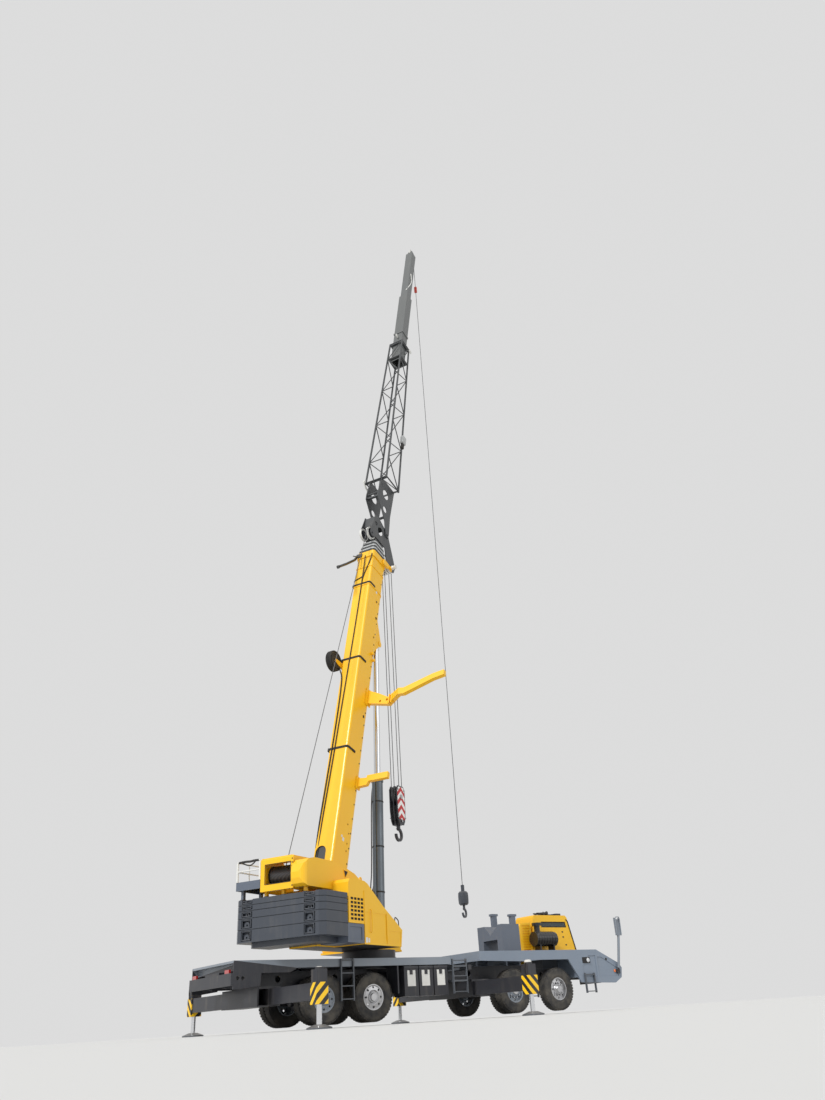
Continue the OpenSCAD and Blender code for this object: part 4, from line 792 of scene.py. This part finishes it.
# %% Tread and hubs
TREAD_ROWS = [(-0.46, -0.29), (-0.24, -0.02), (0.02, 0.24), (0.29, 0.46)]
TYRE_WIDTH = 0.29
HUB_CAP = [(0, 0.05), (0.085, 0.05), (0.10, 0.035), (0.11, 0), (0.14, -0.005), (0.14, -0.03), (0, -0.03)]


def round_axle(count, step_turn=0.0):
    return [Matrix.Rotation(tau * i / count + step_turn, 4, "Y") for i in range(count)]


def tread_ring(y):
    rows = []
    for k, (low, high) in enumerate(TREAD_ROWS):
        lug = block("lug", (-0.028, y + low * TYRE_WIDTH, 0.528), (0.028, y + high * TYRE_WIDTH, 0.549))
        rows.append(repeated("row", lug, round_axle(44, 0.07 * (k % 2))))
    return joined_as("ring", rows)


def hub(side, y):
    cap = turned("cap", HUB_CAP, (0, side * (y + 0.10), 0), (0, side, 0), 28)
    nut = disc("nut", (0.168, side * (y + 0.085), 0), (0, side, 0), 0.017, 0.05, 0.004, 6)
    return [cap, repeated("nuts", nut, round_axle(10))]


for axle, x in enumerate(AXLE_X):
    for side, word in ((1, "left"), (-1, "right")):
        place = (on_carrier @ shift(x, 0, HUB_Z), f"wheel_{axle + 1}_{word}")
        rings = [tread_ring(side * y) for y in ((1.135, 0.815) if axle > 1 else (1.135,))]
        lay(f"tread_{axle + 1}_{word}", rings, place, "tyre")
        lay(f"hub_{axle + 1}_{word}", hub(side, 1.14), place, "steel")
print("wheels dressed:", 2 * len(AXLE_X))

# %% [markdown]
# On the right side three square cases carry blank white papers under their lids. The papers are
# thin plates, laid just clear of the case so that the two faces never coincide.

# %% Cases and papers
papers = [block("paper", (x, -1.2645, 0.83), (x + 0.25, -1.2605, 1.20), 0.001) for x in (0.38, 0.83, 1.32)]
lay("blank_papers", papers, CARRIER, "white_paint")
lids = []
for x in (0.28, 0.75, 1.22):
    lids.append(block("lid", (x - 0.005, -1.275, 1.225), (x + 0.445, -0.78, 1.296), 0.008, 2))
    lids.append(block("latch", (x + 0.17, -1.279, 1.10), (x + 0.26, -1.262, 1.225)))
lay("case_lids", lids, CARRIER, "dark_paint")
print("papers:", len(papers))

# %% [markdown]
# Each jack ends in a white cap, lower at the rear where the deck passes over the case. Bolts and a
# looped hose sit on the case, and the hose keeps to the side that faces away from the other beam.

# %% Jack caps, bolts and hoses
# Columns: place along the carrier, side, height of the cap
JACKS = {"front_left": (3.06, 1, 1.232), "front_right": (2.78, -1, 1.232), "rear_left": (-3.56, 1, 1.186),
         "rear_right": (-3.28, -1, 1.186)}
CAP = [(0, 0.03), (0.05, 0.028), (0.088, 0.012), (0.094, -0.02), (0.094, -0.05), (0, -0.05)]
LOOP = [(0.09, 0.02, 1.165), (0.14, 0.03, 1.195), (0.165, 0.03, 1.10), (0.160, 0.02, 0.96),
        (0.148, 0.02, 0.87)]
for word, (x, side, cap_z) in JACKS.items():
    y = side * 3.25
    place = (on_carrier, f"outrigger_{word}")
    cap = turned("cap", CAP, (x, y, cap_z), (0, 0, 1), 28)
    lay(f"jack_cap_{word}", [cap], place, "white_paint")
    bolts = [disc("bolt", (x + dx, y + side * 0.1, z), (0, side, 0), 0.012, 0.03, 0.002, 6)
             for dx in (-0.11, 0.11) for z in (0.95, 1.10)]
    free = side if x > 0 else -side
    hose = pipe("hose", [(x + free * dx, y + side * dy, z) for dx, dy, z in LOOP], 0.014)
    lay(f"jack_hose_{word}", bolts + [hose], place, "hose")
print("jack caps:", len(JACKS))

# %% [markdown]
# The carrier's cab and the operator's cab have tinted panes in black rubber frames. Glass keeps a
# plain transmission, and a faint haze changes its colour and its roughness.

# %% Glass
glass, tree, shader = new_material("glass")
haze = mask(tree, 3.0, 0.4, 0.8)
fill_in(tree, shader, {
    "Base Color": mix_colour(tree, haze, (0.10, 0.13, 0.14, 1), (0.16, 0.18, 0.18, 1)),
    "Roughness": plus(tree, times(tree, haze, 0.08), 0.04), "Transmission Weight": 0.6, "IOR": 1.45})
PAINTS["glass"] = glass
print("glass ready")

# %% [markdown]
# A pane is an outline that is filled, a little larger than its opening, with its frame inset from
# it as the second finish. A side pane stands along the cab, and a cross pane spans its width.

# %% Panes
def pane(name, points, place, frame_width=0.035):
    piece = drawn(name, points, True)
    edit_all()
    bpy.ops.mesh.inset(thickness=frame_width, depth=0)
    leave_edit()
    inner = [face.select for face in piece.data.polygons]
    for face in piece.data.polygons:
        face.material_index = 0 if inner[face.index] else 1
    piece.data.materials.append(PAINTS["glass"])
    piece.data.materials.append(PAINTS["hose"])
    thicken(piece, 0.008)
    piece.data.transform(place[0])
    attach(piece, place[1])


def along(y, corners):
    return [(x, y, z) for x, z in corners]


def across(y0, y1, foot, head):
    return [(foot[0], y0, foot[1]), (foot[0], y1, foot[1]), (head[0], y1, head[1]), (head[0], y0, head[1])]


pane("cab_door_pane", along(1.262, [(6.682, 1.752), (7.468, 1.752), (7.468, 2.558), (6.722, 2.558)]),
     (on_carrier, "cab_door"))
pane("cab_slit_pane", along(0.455, [(6.712, 2.422), (7.798, 2.422), (7.758, 2.588), (6.722, 2.588)]),
     CARRIER)
pane("windscreen", across(0.527, 1.188, (8.106, 1.762), (7.870, 2.655)), CARRIER, 0.05)
pane("cab_rear_pane", across(0.597, 1.118, (6.345, 1.902), (6.425, 2.558)), CARRIER)
pane("operator_door_pane", along(1.311, [(-0.038, 2.352), (0.788, 2.352), (0.788, 3.198), (-0.038, 3.198)]),
     (on_upper, "operator_door"))
pane("operator_inner_pane", along(0.50, [(-0.198, 2.502), (1.118, 2.502), (0.952, 3.198), (-0.198, 3.198)]),
     UPPER)
pane("operator_windscreen", across(0.562, 1.178, (1.425, 2.352), (1.205, 3.10)), UPPER, 0.04)
pane("operator_rear_pane", across(0.622, 1.118, (-0.32, 2.502), (-0.32, 3.198)), UPPER)
pane("operator_roof_pane", across(0.622, 1.118, (-0.098, 3.33), (0.848, 3.33)), UPPER)

# %% [markdown]
# The boom's back carries an electric cable and a hose. The cable forks at the boom's mouth, and
# the hose leads to the reel.

# %% Boom: cable and hose
# Columns: radius, then points along the boom
BOOM_LINES = {
    "boom_cable": (0.017, [(0.9, 0.20, 0.38), (1.3, 0.20, 0.447), (3.83, 0.11, 0.447), (5.14, 0.087, 0.447),
                           (8.35, 0.004, 0.447), (10.48, -0.014, 0.447), (11.4, -0.03, 0.49)]),
    "boom_branch": (0.017, [(10.30, -0.01, 0.447), (10.50, -0.02, 0.449), (11.25, -0.27, 0.447),
                            (11.42, -0.30, 0.49)]),
    "boom_hose": (0.019, [(0.8, 0.285, 0.36), (1.25, 0.275, 0.447), (3.83, 0.205, 0.447),
                          (5.16, 0.188, 0.447), (6.2, 0.20, 0.447), (6.7, 0.25, 0.45), (7.0, 0.42, 0.55)]),
}
for name, (radius, points) in BOOM_LINES.items():
    lay(name, [pipe(name, points, radius)], BOOM, "hose")
print("boom lines:", len(BOOM_LINES))

# %% [markdown]
# A strap crosses the boom's back wherever a bracket is clamped on. It is a flat band, made here of
# three bars side by side that bend round the corners, with a buckle on the left. Rows of plugs
# close the holes for the wear pads along both sides.

# %% Boom: straps and plugs
def strap(s, reach):
    bands = []
    for ds in (-0.022, 0.0, 0.022):
        half = [(s + ds, 0.29, 0.433), (s + ds, 0.326, 0.37), (s + ds, 0.326, 0.427 - reach)]
        way = [(x, -y, z) for x, y, z in reversed(half)] + half
        bands.append(pipe("strap", way, 0.014, 2, False))
    return joined_as("strap", bands)


STRAPS = {10.19: 0.33, 7.18: 0.36, 4.07: 0.40}
straps = [strap(s, reach) for s, reach in STRAPS.items()]
TIE = [(10.40, 0.34, 0.40), (10.40, 0.30, 0.445), (10.47, 0.05, 0.447), (10.50, -0.02, 0.45)]
straps.append(pipe("tie", TIE, 0.017, 2))
straps += [block("buckle", (s - 0.06, 0.32, 0.30), (s + 0.05, 0.37, 0.43), 0.01) for s in STRAPS]
lay("boom_straps", straps, BOOM, "hose")
plugs = []
for s in [0.9 + 0.42 * i for i in range(25)]:
    for side in (-1, 1):
        if not 6.15 < s < 6.5:
            plugs.append(disc("plug", (s, side * 0.3165, -0.262), (0, side, 0), 0.022, 0.014, 0.003, 8))
lay("boom_plugs", plugs, BOOM, "hose")
print("boom straps:", len(straps), "plugs:", len(plugs))

# %% [markdown]
# A white guide roller at the boom's mouth keeps the rope off the steel. The thin guide arm above it
# gets the thicker black sleeve that it has on the real boom.

# %% Guide roller and arm sleeve
half = [(0.062, 0.02), (0.085, 0.06), (0.075, 0.075), (0, 0.075)]
roller = turned("roller", [(r, -h) for r, h in reversed(half)] + half, (11.49, -0.56, -0.56), (0, 1, 0), 28)
lay("roller", [roller], BOOM, "white_paint")
ARM = [(10.29, 0.30, 1.395), (10.70, 0.30, 1.03), (11.20, 0.30, 0.615), (11.38, 0.30, 0.53)]
lay("arm_sleeve", [pipe("sleeve", ARM, 0.046, 4, False)], BOOM, "gloss_black")
print("roller and sleeve laid")

# %% [markdown]
# The boom's sides have small round openings, each with a raised rim round a dark disc, which is painted
# shade for the opening's inside, and a few blank white patches on the right.

# %% Boom: openings and patches
# Columns: place along the boom, height on its side, radius
MOUTHS = [(5.355, -0.183, 0.045), (1.926, -0.078, 0.02), (1.705, -0.175, 0.02), (1.411, -0.148, 0.022),
          (1.207, -0.148, 0.022), (9.071, -0.201, 0.05), (9.70, -0.117, 0.04), (3.10, -0.20, 0.02),
          (8.30, -0.20, 0.03)]
rims, holes = [], []
for s, z, r in MOUTHS:
    profile = [(r + 0.012, -0.002), (r + 0.012, 0.006), (r + 0.006, 0.010), (r, 0.006), (r, -0.002)]
    for side in (-1, 1):
        rims.append(turned("rim", profile, (s, side * 0.3155, z), (0, side, 0), 20))
        holes.append(disc("mouth", (s, side * 0.3165, z), (0, side, 0), r, 0.004, 0.001, 20))
lay("boom_rims", rims, BOOM, "yellow_paint")
# The dark discs are painted shade inside the openings.
lay("boom_mouths", holes, BOOM, "black_seal_and_shade")
# Columns: place along the boom, height on its side, half length, half height
PATCHES = [(1.459, 0.049, 0.05, 0.045), (1.52, 0.13, 0.03, 0.03), (10.063, -0.048, 0.05, 0.04)]
patches = [block("patch", (s - w, -0.319, z - h), (s + w, -0.3145, z + h), 0.001) for s, z, w, h in PATCHES]
lay("boom_patches", patches, BOOM, "white_paint")
print("mouths:", len(holes))

# %% [markdown]
# The reel at the boom's middle carries close turns of black hose between two dished faces. A ridge
# for each turn is worked out by a loop, and the whole profile is spun once.

# %% Boom: hose reel
REEL = Vector((7.01, 0.446, 0.70))
HOSE_TURNS = 5
coil = []
for i in range(HOSE_TURNS):
    y = -0.072 + 0.036 * i
    coil += [(0.312, y - 0.018), (0.322, y - 0.012), (0.329, y), (0.322, y + 0.012)]
reel = [turned("coil", [(0.28, -0.092)] + coil + [(0.312, 0.09), (0.28, 0.09)], REEL, (0, 1, 0), 40)]
DISH = [(0, 0.012), (0.05, 0.012), (0.06, 0), (0.20, 0), (0.21, 0.012), (0.235, 0.012), (0.245, -0.004),
        (0, -0.004)]
reel += [turned("face", DISH, REEL + Vector((0, side * 0.082, 0)), (0, side, 0)) for side in (-1, 1)]
lay("reel_hose", reel, BOOM, "hose")
print("turns of hose:", HOSE_TURNS)

# %% [markdown]
# The lift cylinder has black bands where its hoses are tied, with a valve block and two hoses at
# its foot, on the boom's left.

# %% Lift cylinder: bands, valve and hoses
BAND = [(0.160, -0.022), (0.176, -0.018), (0.176, 0.018), (0.160, 0.022)]
bands = [turned("band", BAND, (s, 0, 0), (1, 0, 0), 40) for s in (2.35, 3.65, 1.10)]
lay("barrel_bands", bands, RAM, "hose")
valve = [block("valve", (0.55, 0.17, -0.09), (0.95, 0.27, 0.09), 0.012, 2)]
for s in (0.64, 0.84):
    valve += [disc("fitting", (s, 0.28, z), (0, 1, 0), 0.03, 0.05, 0.006, 6) for z in (-0.04, 0.05)]
lay("valve_block", valve, RAM, "dark_paint")
tubes = [pipe("tube", [(0.95, 0.23, z), (1.15, 0.25, z), (1.30, 0.21, z * 2.4), (1.7, 0.178, z * 2.0),
                       (3.9, 0.178, z * 2.0), (4.1, 0.15, z)], 0.016) for z in (-0.03, 0.04)]
lay("barrel_hoses", tubes, RAM, "hose")
print("bands:", len(bands))

# %% [markdown]
# The winch drum shows the laid turns of its rope as close rings. One lathe profile with a ridge
# for each turn makes the whole layer.

# %% Rope on the drum
TURNS = 32
ridges = []
for i in range(TURNS):
    y = -0.353 + i * 0.0228
    ridges += [(0.218, y - 0.0114), (0.227, y - 0.006), (0.230, y), (0.227, y + 0.006)]
profile = [(0.16, -0.364)] + ridges + [(0.218, 0.364), (0.16, 0.364)]
layer = turned("rope_layer", profile, (-3.56, 0.11, 3.38), (0, 1, 0), 40)
lay("rope_layer", [layer], (on_upper, "winch_drum"), "rope_steel")
print("rope turns:", TURNS)

# %% [markdown]
# The rope leaves the drum for the head of the boom. Close to the drum it is made in short steps. Its bend
# over the head sheaves is a piece of its own, which goes out with the head.

# %% Hoist rope
ROPE_R = 0.011
# The first steps, out of all that the rope's length holds, are drawn near the drum, then the rope runs
# straight to the head
BLENDED_STEPS, ALL_STEPS = 12, 150
rope_foot, rope_head = Vector((-3.770, 0.02, 3.456)), Vector((0.470, -0.14, 15.16))
steps = [rope_foot.lerp(rope_head, step / ALL_STEPS) for step in range(BLENDED_STEPS + 1)]
hoist = finished(pipe("hoist_rope", steps + [rope_head], ROPE_R, 2, False), on_upper, "rope_steel")
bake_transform(hoist)
over_head = [rope_head, (0.56, -0.14, 15.28), (0.70, -0.14, 15.325), (0.84, -0.13, 15.27),
             (2.16, -0.05, 14.41)]
lay("head_rope", [pipe("head_rope", over_head, ROPE_R, 2, False)], (on_upper, "boom_top"), "rope_steel")
print("rope from drum to head:", round((rope_head - rope_foot).length, 2), "m")

# %% [markdown]
# The machinery cover on the right has a screen of square holes, and a grab handle between two
# welded edges. The screen is a grid whose faces are inset and taken out, then given thickness.

# %% Cover screen and handle
clear_selection()
bpy.ops.mesh.primitive_grid_add(x_subdivisions=4, y_subdivisions=6, size=1)
screen = keep_place("cover_screen")
upright = Matrix.Rotation(pi / 2, 4, "X") @ Matrix.Diagonal((0.61, 0.55, 1, 1))
screen.data.transform(shift(-2.575, -1.2885, 2.525) @ upright)
edit_all()
bpy.ops.mesh.inset(thickness=0.018, use_individual=True)
bpy.ops.mesh.delete(type="ONLY_FACE")
leave_edit()
lay("cover_screen", [thicken(screen, 0.006)], UPPER, "yellow_paint")
GRIP = [(-1.288, 2.55), (-1.325, 2.55), (-1.33, 2.45), (-1.33, 2.12), (-1.325, 2.02), (-1.288, 2.02)]
handle = pipe("handle", [(-1.95, y, z) for y, z in GRIP], 0.012)
edges = [block("edge", (x - 0.016, -1.303, 1.80), (x + 0.016, -1.286, z))
         for x, z in ((-2.235, 2.98), (-1.17, 2.50))]
lay("cover_edges", [handle] + edges, UPPER, "yellow_paint")
print("screen faces:", len(screen.data.polygons))

# %% [markdown]
# The winch's rear frame has a dark seal round its window and a row of bolts on its right flange.
# The cover beside it has a vent with a raised edge near its top; its opening is a near-black plate, which
# is painted shade for the vent's inside.

# %% Winch frame and vent
REAR_X = -4.014
window = [(-0.325, 3.145), (0.445, 3.145), (0.445, 3.605), (-0.325, 3.605), (-0.325, 3.145)]
seal = pipe("winch_seal", [(REAR_X, y, z) for y, z in window], 0.009, 2, False)
lay("winch_seal", [seal], UPPER, "black_seal_and_shade")
bolt = disc("bolt", (REAR_X - 0.002, -0.375, 0), (1, 0, 0), 0.017, 0.018, 0.003, 6)
heights = [3.05 + 0.088 * i for i in range(8)]
bolts = repeated("bolts", bolt, [shift(0, 0, z) for z in heights])
lay("winch_bolts", [bolts], UPPER, "dark_paint")
vent = [(-2.43, 3.505), (-2.36, 3.325), (-2.335, 3.33), (-2.235, 3.455), (-2.245, 3.48)]
# The vent's opening is a near-black plate: painted shade inside the vent.
mouth = thicken(drawn("vent_mouth", along(-0.8125, vent), True), 0.003)
lay("vent_mouth", [mouth], UPPER, "black_seal_and_shade")
edge = pipe("vent_edge", along(-0.815, vent + vent[:1]), 0.008, 2, False)
lay("vent_edge", [edge], UPPER, "yellow_paint")
print("winch bolts:", len(heights))

# %% [markdown]
# The housing has a grab rail, a lifting lug with an eye, and two blank white patches.

# %% Housing rail, lug and patches
rail = pipe("rail", along(-1.22, [(-0.64, 2.26), (-0.64, 2.43), (-0.60, 2.46), (-0.47, 2.40), (-0.44, 2.36),
                                  (-0.44, 2.17)]), 0.014)
lay("housing_rail", [rail], UPPER, "dark_paint")
eye = turned("eye", [(0.028, -0.012), (0.06, -0.012), (0.06, 0.012), (0.028, 0.012), (0.028, -0.012)],
             (-2.30, -1.23, 3.235), (0, 1, 0), 28)
foot = block("foot", (-2.36, -1.245, 3.17), (-2.24, -1.215, 3.205), 0.005)
lay("lifting_lug", [eye, foot], UPPER, "yellow_paint")
signs = [block("sign", (x - w, -1.2925, 1.842 - h), (x + w, -1.2905, 1.842 + h), 0.001)
         for x, w, h in ((-2.157, 0.05, 0.06), (-2.05, 0.035, 0.05))]
lay("housing_patches", signs, UPPER, "white_paint")
print("patches:", len(signs))

# %% [markdown]
# On the platform, a dark cover hangs rolled on the rear rail and pale sleeves stand round its posts.
# The counterweight's slabs show welded loops round their lifting pockets.

# %% Platform and counterweight
wrap = pipe("wrap", [(-3.985, 0.66, 3.755), (-3.99, 0.78, 3.765), (-3.98, 0.93, 3.75),
                     (-3.985, 1.08, 3.765), (-3.985, 1.28, 3.755)], 0.028)
tail = pipe("tail", [(-3.99, 0.74, 3.77), (-4.0, 0.80, 3.70), (-3.99, 0.92, 3.65), (-3.985, 1.06, 3.68),
                     (-3.985, 1.20, 3.75)], 0.016)
lay("rail_wrap", [wrap, tail], UPPER, "hose")
sleeves = [turned("sleeve", [(0.016, 0.0), (0.030, 0.0), (0.030, 0.44), (0.016, 0.445)], (-3.985, y, 3.291),
                  (0, 0, 1), 20) for y in (0.62, 1.32)]
lay("post_sleeves", sleeves, UPPER, "white_paint")
loops = []
for low, high in ((1.895, 2.17), (2.17, 2.42), (2.42, 2.59), (2.59, 2.72), (2.72, 2.858)):
    for y in (-0.92, 0.92):
        left, right, foot, head = y - 0.125, y + 0.125, low + 0.055, high - 0.035
        way = [(left, foot), (left, head), (right, head), (right, foot), (left, foot)]
        loops.append(pipe("loop", [(-4.064, *point) for point in way], 0.014, 3, False))
lay("pocket_loops", loops, UPPER, "slate_paint")
print("pocket loops:", len(loops))

# %% [markdown]
# The right side of the nose carries a sunk work lamp in a dark frame, a round hole and an amber reflector.
# The hole is a near-black disc, which is painted shade for its inside. The mirror hangs on a bright bracket
# bent from bar.

# %% Nose and mirror
NOSE_Y = -1.28
# The slot is a near-black disc: painted shade inside the round hole.
frames = [block("frame", (6.63, NOSE_Y - 0.006, 1.265), (6.94, NOSE_Y + 0.004, 1.425), 0.004, 2),
          disc("slot", (7.62, NOSE_Y - 0.001, 1.365), (0, -1, 0), 0.035, 0.012, 0.003, 20)]
lay("nose_frames", frames, CARRIER, "black_seal_and_shade")
lamp = turned("lamp", [(0, 0.030), (0.04, 0.027), (0.058, 0.012), (0.062, -0.004), (0, -0.004)],
              (6.86, NOSE_Y - 0.006, 1.345), (0, -1, 0), 28)
lay("nose_lamps", [lamp], CARRIER, "clear_lens")
reflector = turned("reflector", [(0, 0.012), (0.03, 0.011), (0.042, 0.004), (0.044, -0.004), (0, -0.004)],
                   (7.93, NOSE_Y, 1.04), (0, -1, 0), 24)
lay("nose_reflector", [reflector], CARRIER, "amber_lens")
bow = pipe("bow", [(8.03, -1.50, 2.02), (8.03, -1.515, 2.46), (8.07, -1.52, 2.52), (8.19, -1.52, 2.52),
                   (8.22, -1.515, 2.46), (8.22, -1.50, 2.02)], 0.014, 3, False)
stay = pipe("stay", [(8.06, -1.33, 1.12), (8.09, -1.41, 1.60), (8.12, -1.475, 2.06)], 0.040, 4)
lay("mirror_bracket", [bow, stay], CARRIER, "pale_grey_paint")
print("nose frames:", len(frames))

# %% [markdown]
# The carrier's cab has a black seal down its front edge, two wipers, small dark marks beside its
# slit window, and a tray with two horns on its roof.

# %% Cab trim and horns
seal = pipe("seal", along(0.432, [(8.095, 1.72), (7.862, 2.60), (7.80, 2.66)]), 0.020, 3, False)
arms = [pipe("wiper", [(8.12, y, 1.80), (8.10, y + 0.05, 1.95), (8.02, y + 0.22, 2.25)], 0.008, 2)
        for y in (0.60, 0.88)]
marks = [block("mark", (x - 0.03, 0.430, z - 0.02), (x + 0.03, 0.437, z + 0.02), 0.002)
         for x, z in ((7.60, 2.14), (7.69, 1.91), (7.59, 2.29))]
lay("cab_trim", [seal] + arms + marks, CARRIER, "hose")
HORN = [(0.02, 0), (0.025, 0.16), (0.035, 0.34), (0.066, 0.42), (0.07, 0.425), (0.056, 0.415), (0, 0.33)]
HORN_Y = (0.52, 0.68)
horns = [block("tray", (6.55, 0.47, 2.705), (7.25, 0.80, 2.79), 0.03, 3)]
for y in HORN_Y:
    horns.append(turned("horn", HORN, (6.66, y, 2.845), (1, 0, 0), 24))
    horns += [block("foot", (x, y - 0.03, 2.78), (x + 0.05, y + 0.03, 2.85), 0.006) for x in (6.72, 6.92)]
lay("roof_horns", horns, CARRIER, "dark_paint")
print("wipers:", len(arms), "marks:", len(marks), "horns:", len(HORN_Y))

# %% [markdown]
# The jib carries a pale signal box with a dark foot on its right chord, small white sheaves that
# lead its rope, and white hoses looped round its foot and along its tube.

# %% Jib fittings
signal = block("signal", (4.88, -0.53, -0.22), (5.28, -0.38, 0.04), 0.03, 3)
lay("signal_box", [signal], JIB, "collar_paint")
foot = block("foot", (4.64, -0.49, -0.17), (4.89, -0.41, -0.01), 0.02, 2)
lay("signal_foot", [foot], JIB, "hose")
GROOVE = [(0.03, -0.02), (0.09, -0.02), (0.10, -0.014), (0.082, 0), (0.10, 0.014), (0.09, 0.02),
          (0.03, 0.02), (0.03, -0.02)]
LEAD_AT = ((11.0, -0.36, -0.05), (11.6, 0.0, 0.60))
lead = [turned("lead", GROOVE, at, (0, 1, 0), 28) for at in LEAD_AT]
lay("lead_sheaves", lead, JIB, "white_paint")
loop = pipe("loop", [(2.31, 0.46, 0.74), (2.38, 0.50, 0.84), (2.28, 0.51, 0.80), (2.14, 0.50, 0.62),
                     (2.06, 0.48, 0.40), (2.16, 0.46, 0.24), (2.31, 0.455, 0.16)], 0.034)
trail = pipe("trail", [(15.4, -0.10, 0.49), (15.7, -0.19, 0.44), (16.1, -0.20, 0.30), (16.5, -0.195, 0.25),
                       (16.9, -0.19, 0.38)], 0.022)
lay("jib_hoses", [loop, trail], JIB, "white_paint")
print("lead sheaves:", len(LEAD_AT))

# %% [markdown]
# The hook block hangs between side plates that are painted with red and white chevrons. The mark
# is a thin plate on each side, a little smaller than the cheek and proud of its outer face, so that
# the pattern has its own plain object to sit on.

# %% Chevron plates
BLOCK_X = 1.951
middle = on_upper @ Vector((BLOCK_X, 0, 0))
lean = on_upper.to_3x3() @ Vector((0.85, 0, 0))
PAINTS["chevrons"] = striped("chevrons", (0.86, 0.86, 0.84), (0.50, 0.012, 0.015), lean[:2], 0.27,
                             (middle.x, middle.y, 0.02), True)
half = [(0.165, 5.50), (0.215, 5.77), (0.215, 6.385), (0.15, 6.485)]
cheek = [(BLOCK_X - dx, z) for dx, z in half] + [(BLOCK_X + dx, z) for dx, z in reversed(half)]
plates = [thicken(drawn("cheek", along(side * 0.1395, cheek), True), 0.004) for side in (-1, 1)]
lay("chevron_plates", plates, HOOK, "chevrons")
print("chevron plates:", len(plates))

# %% [markdown]
# Pins hold the cheeks together, the largest at the sheaves' axle. One table places them on both
# sides of the block.

# %% Block pins
# Columns: place across the block, height, radius
PINS = [(0, 6.19, 0.07), (-0.2, 5.56, 0.03), (0.2, 5.56, 0.03), (0, 5.45, 0.035), (-0.19, 6.40, 0.025),
        (0.19, 6.40, 0.025)]
pins = [disc("pin", (BLOCK_X + dx, side * 0.15, z), (0, side, 0), r, 0.03, 0.004, 16)
        for side in (-1, 1) for dx, z, r in PINS]
lay("block_pins", pins, HOOK, "steel")
print("pins:", len(pins))

# %% [markdown]
# The last lines measure the crane's bounds, leaving out the backdrop, and print its size.

# %% Finish
import json

low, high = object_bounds()
print("size:", [round(v, 3) for v in high - low])
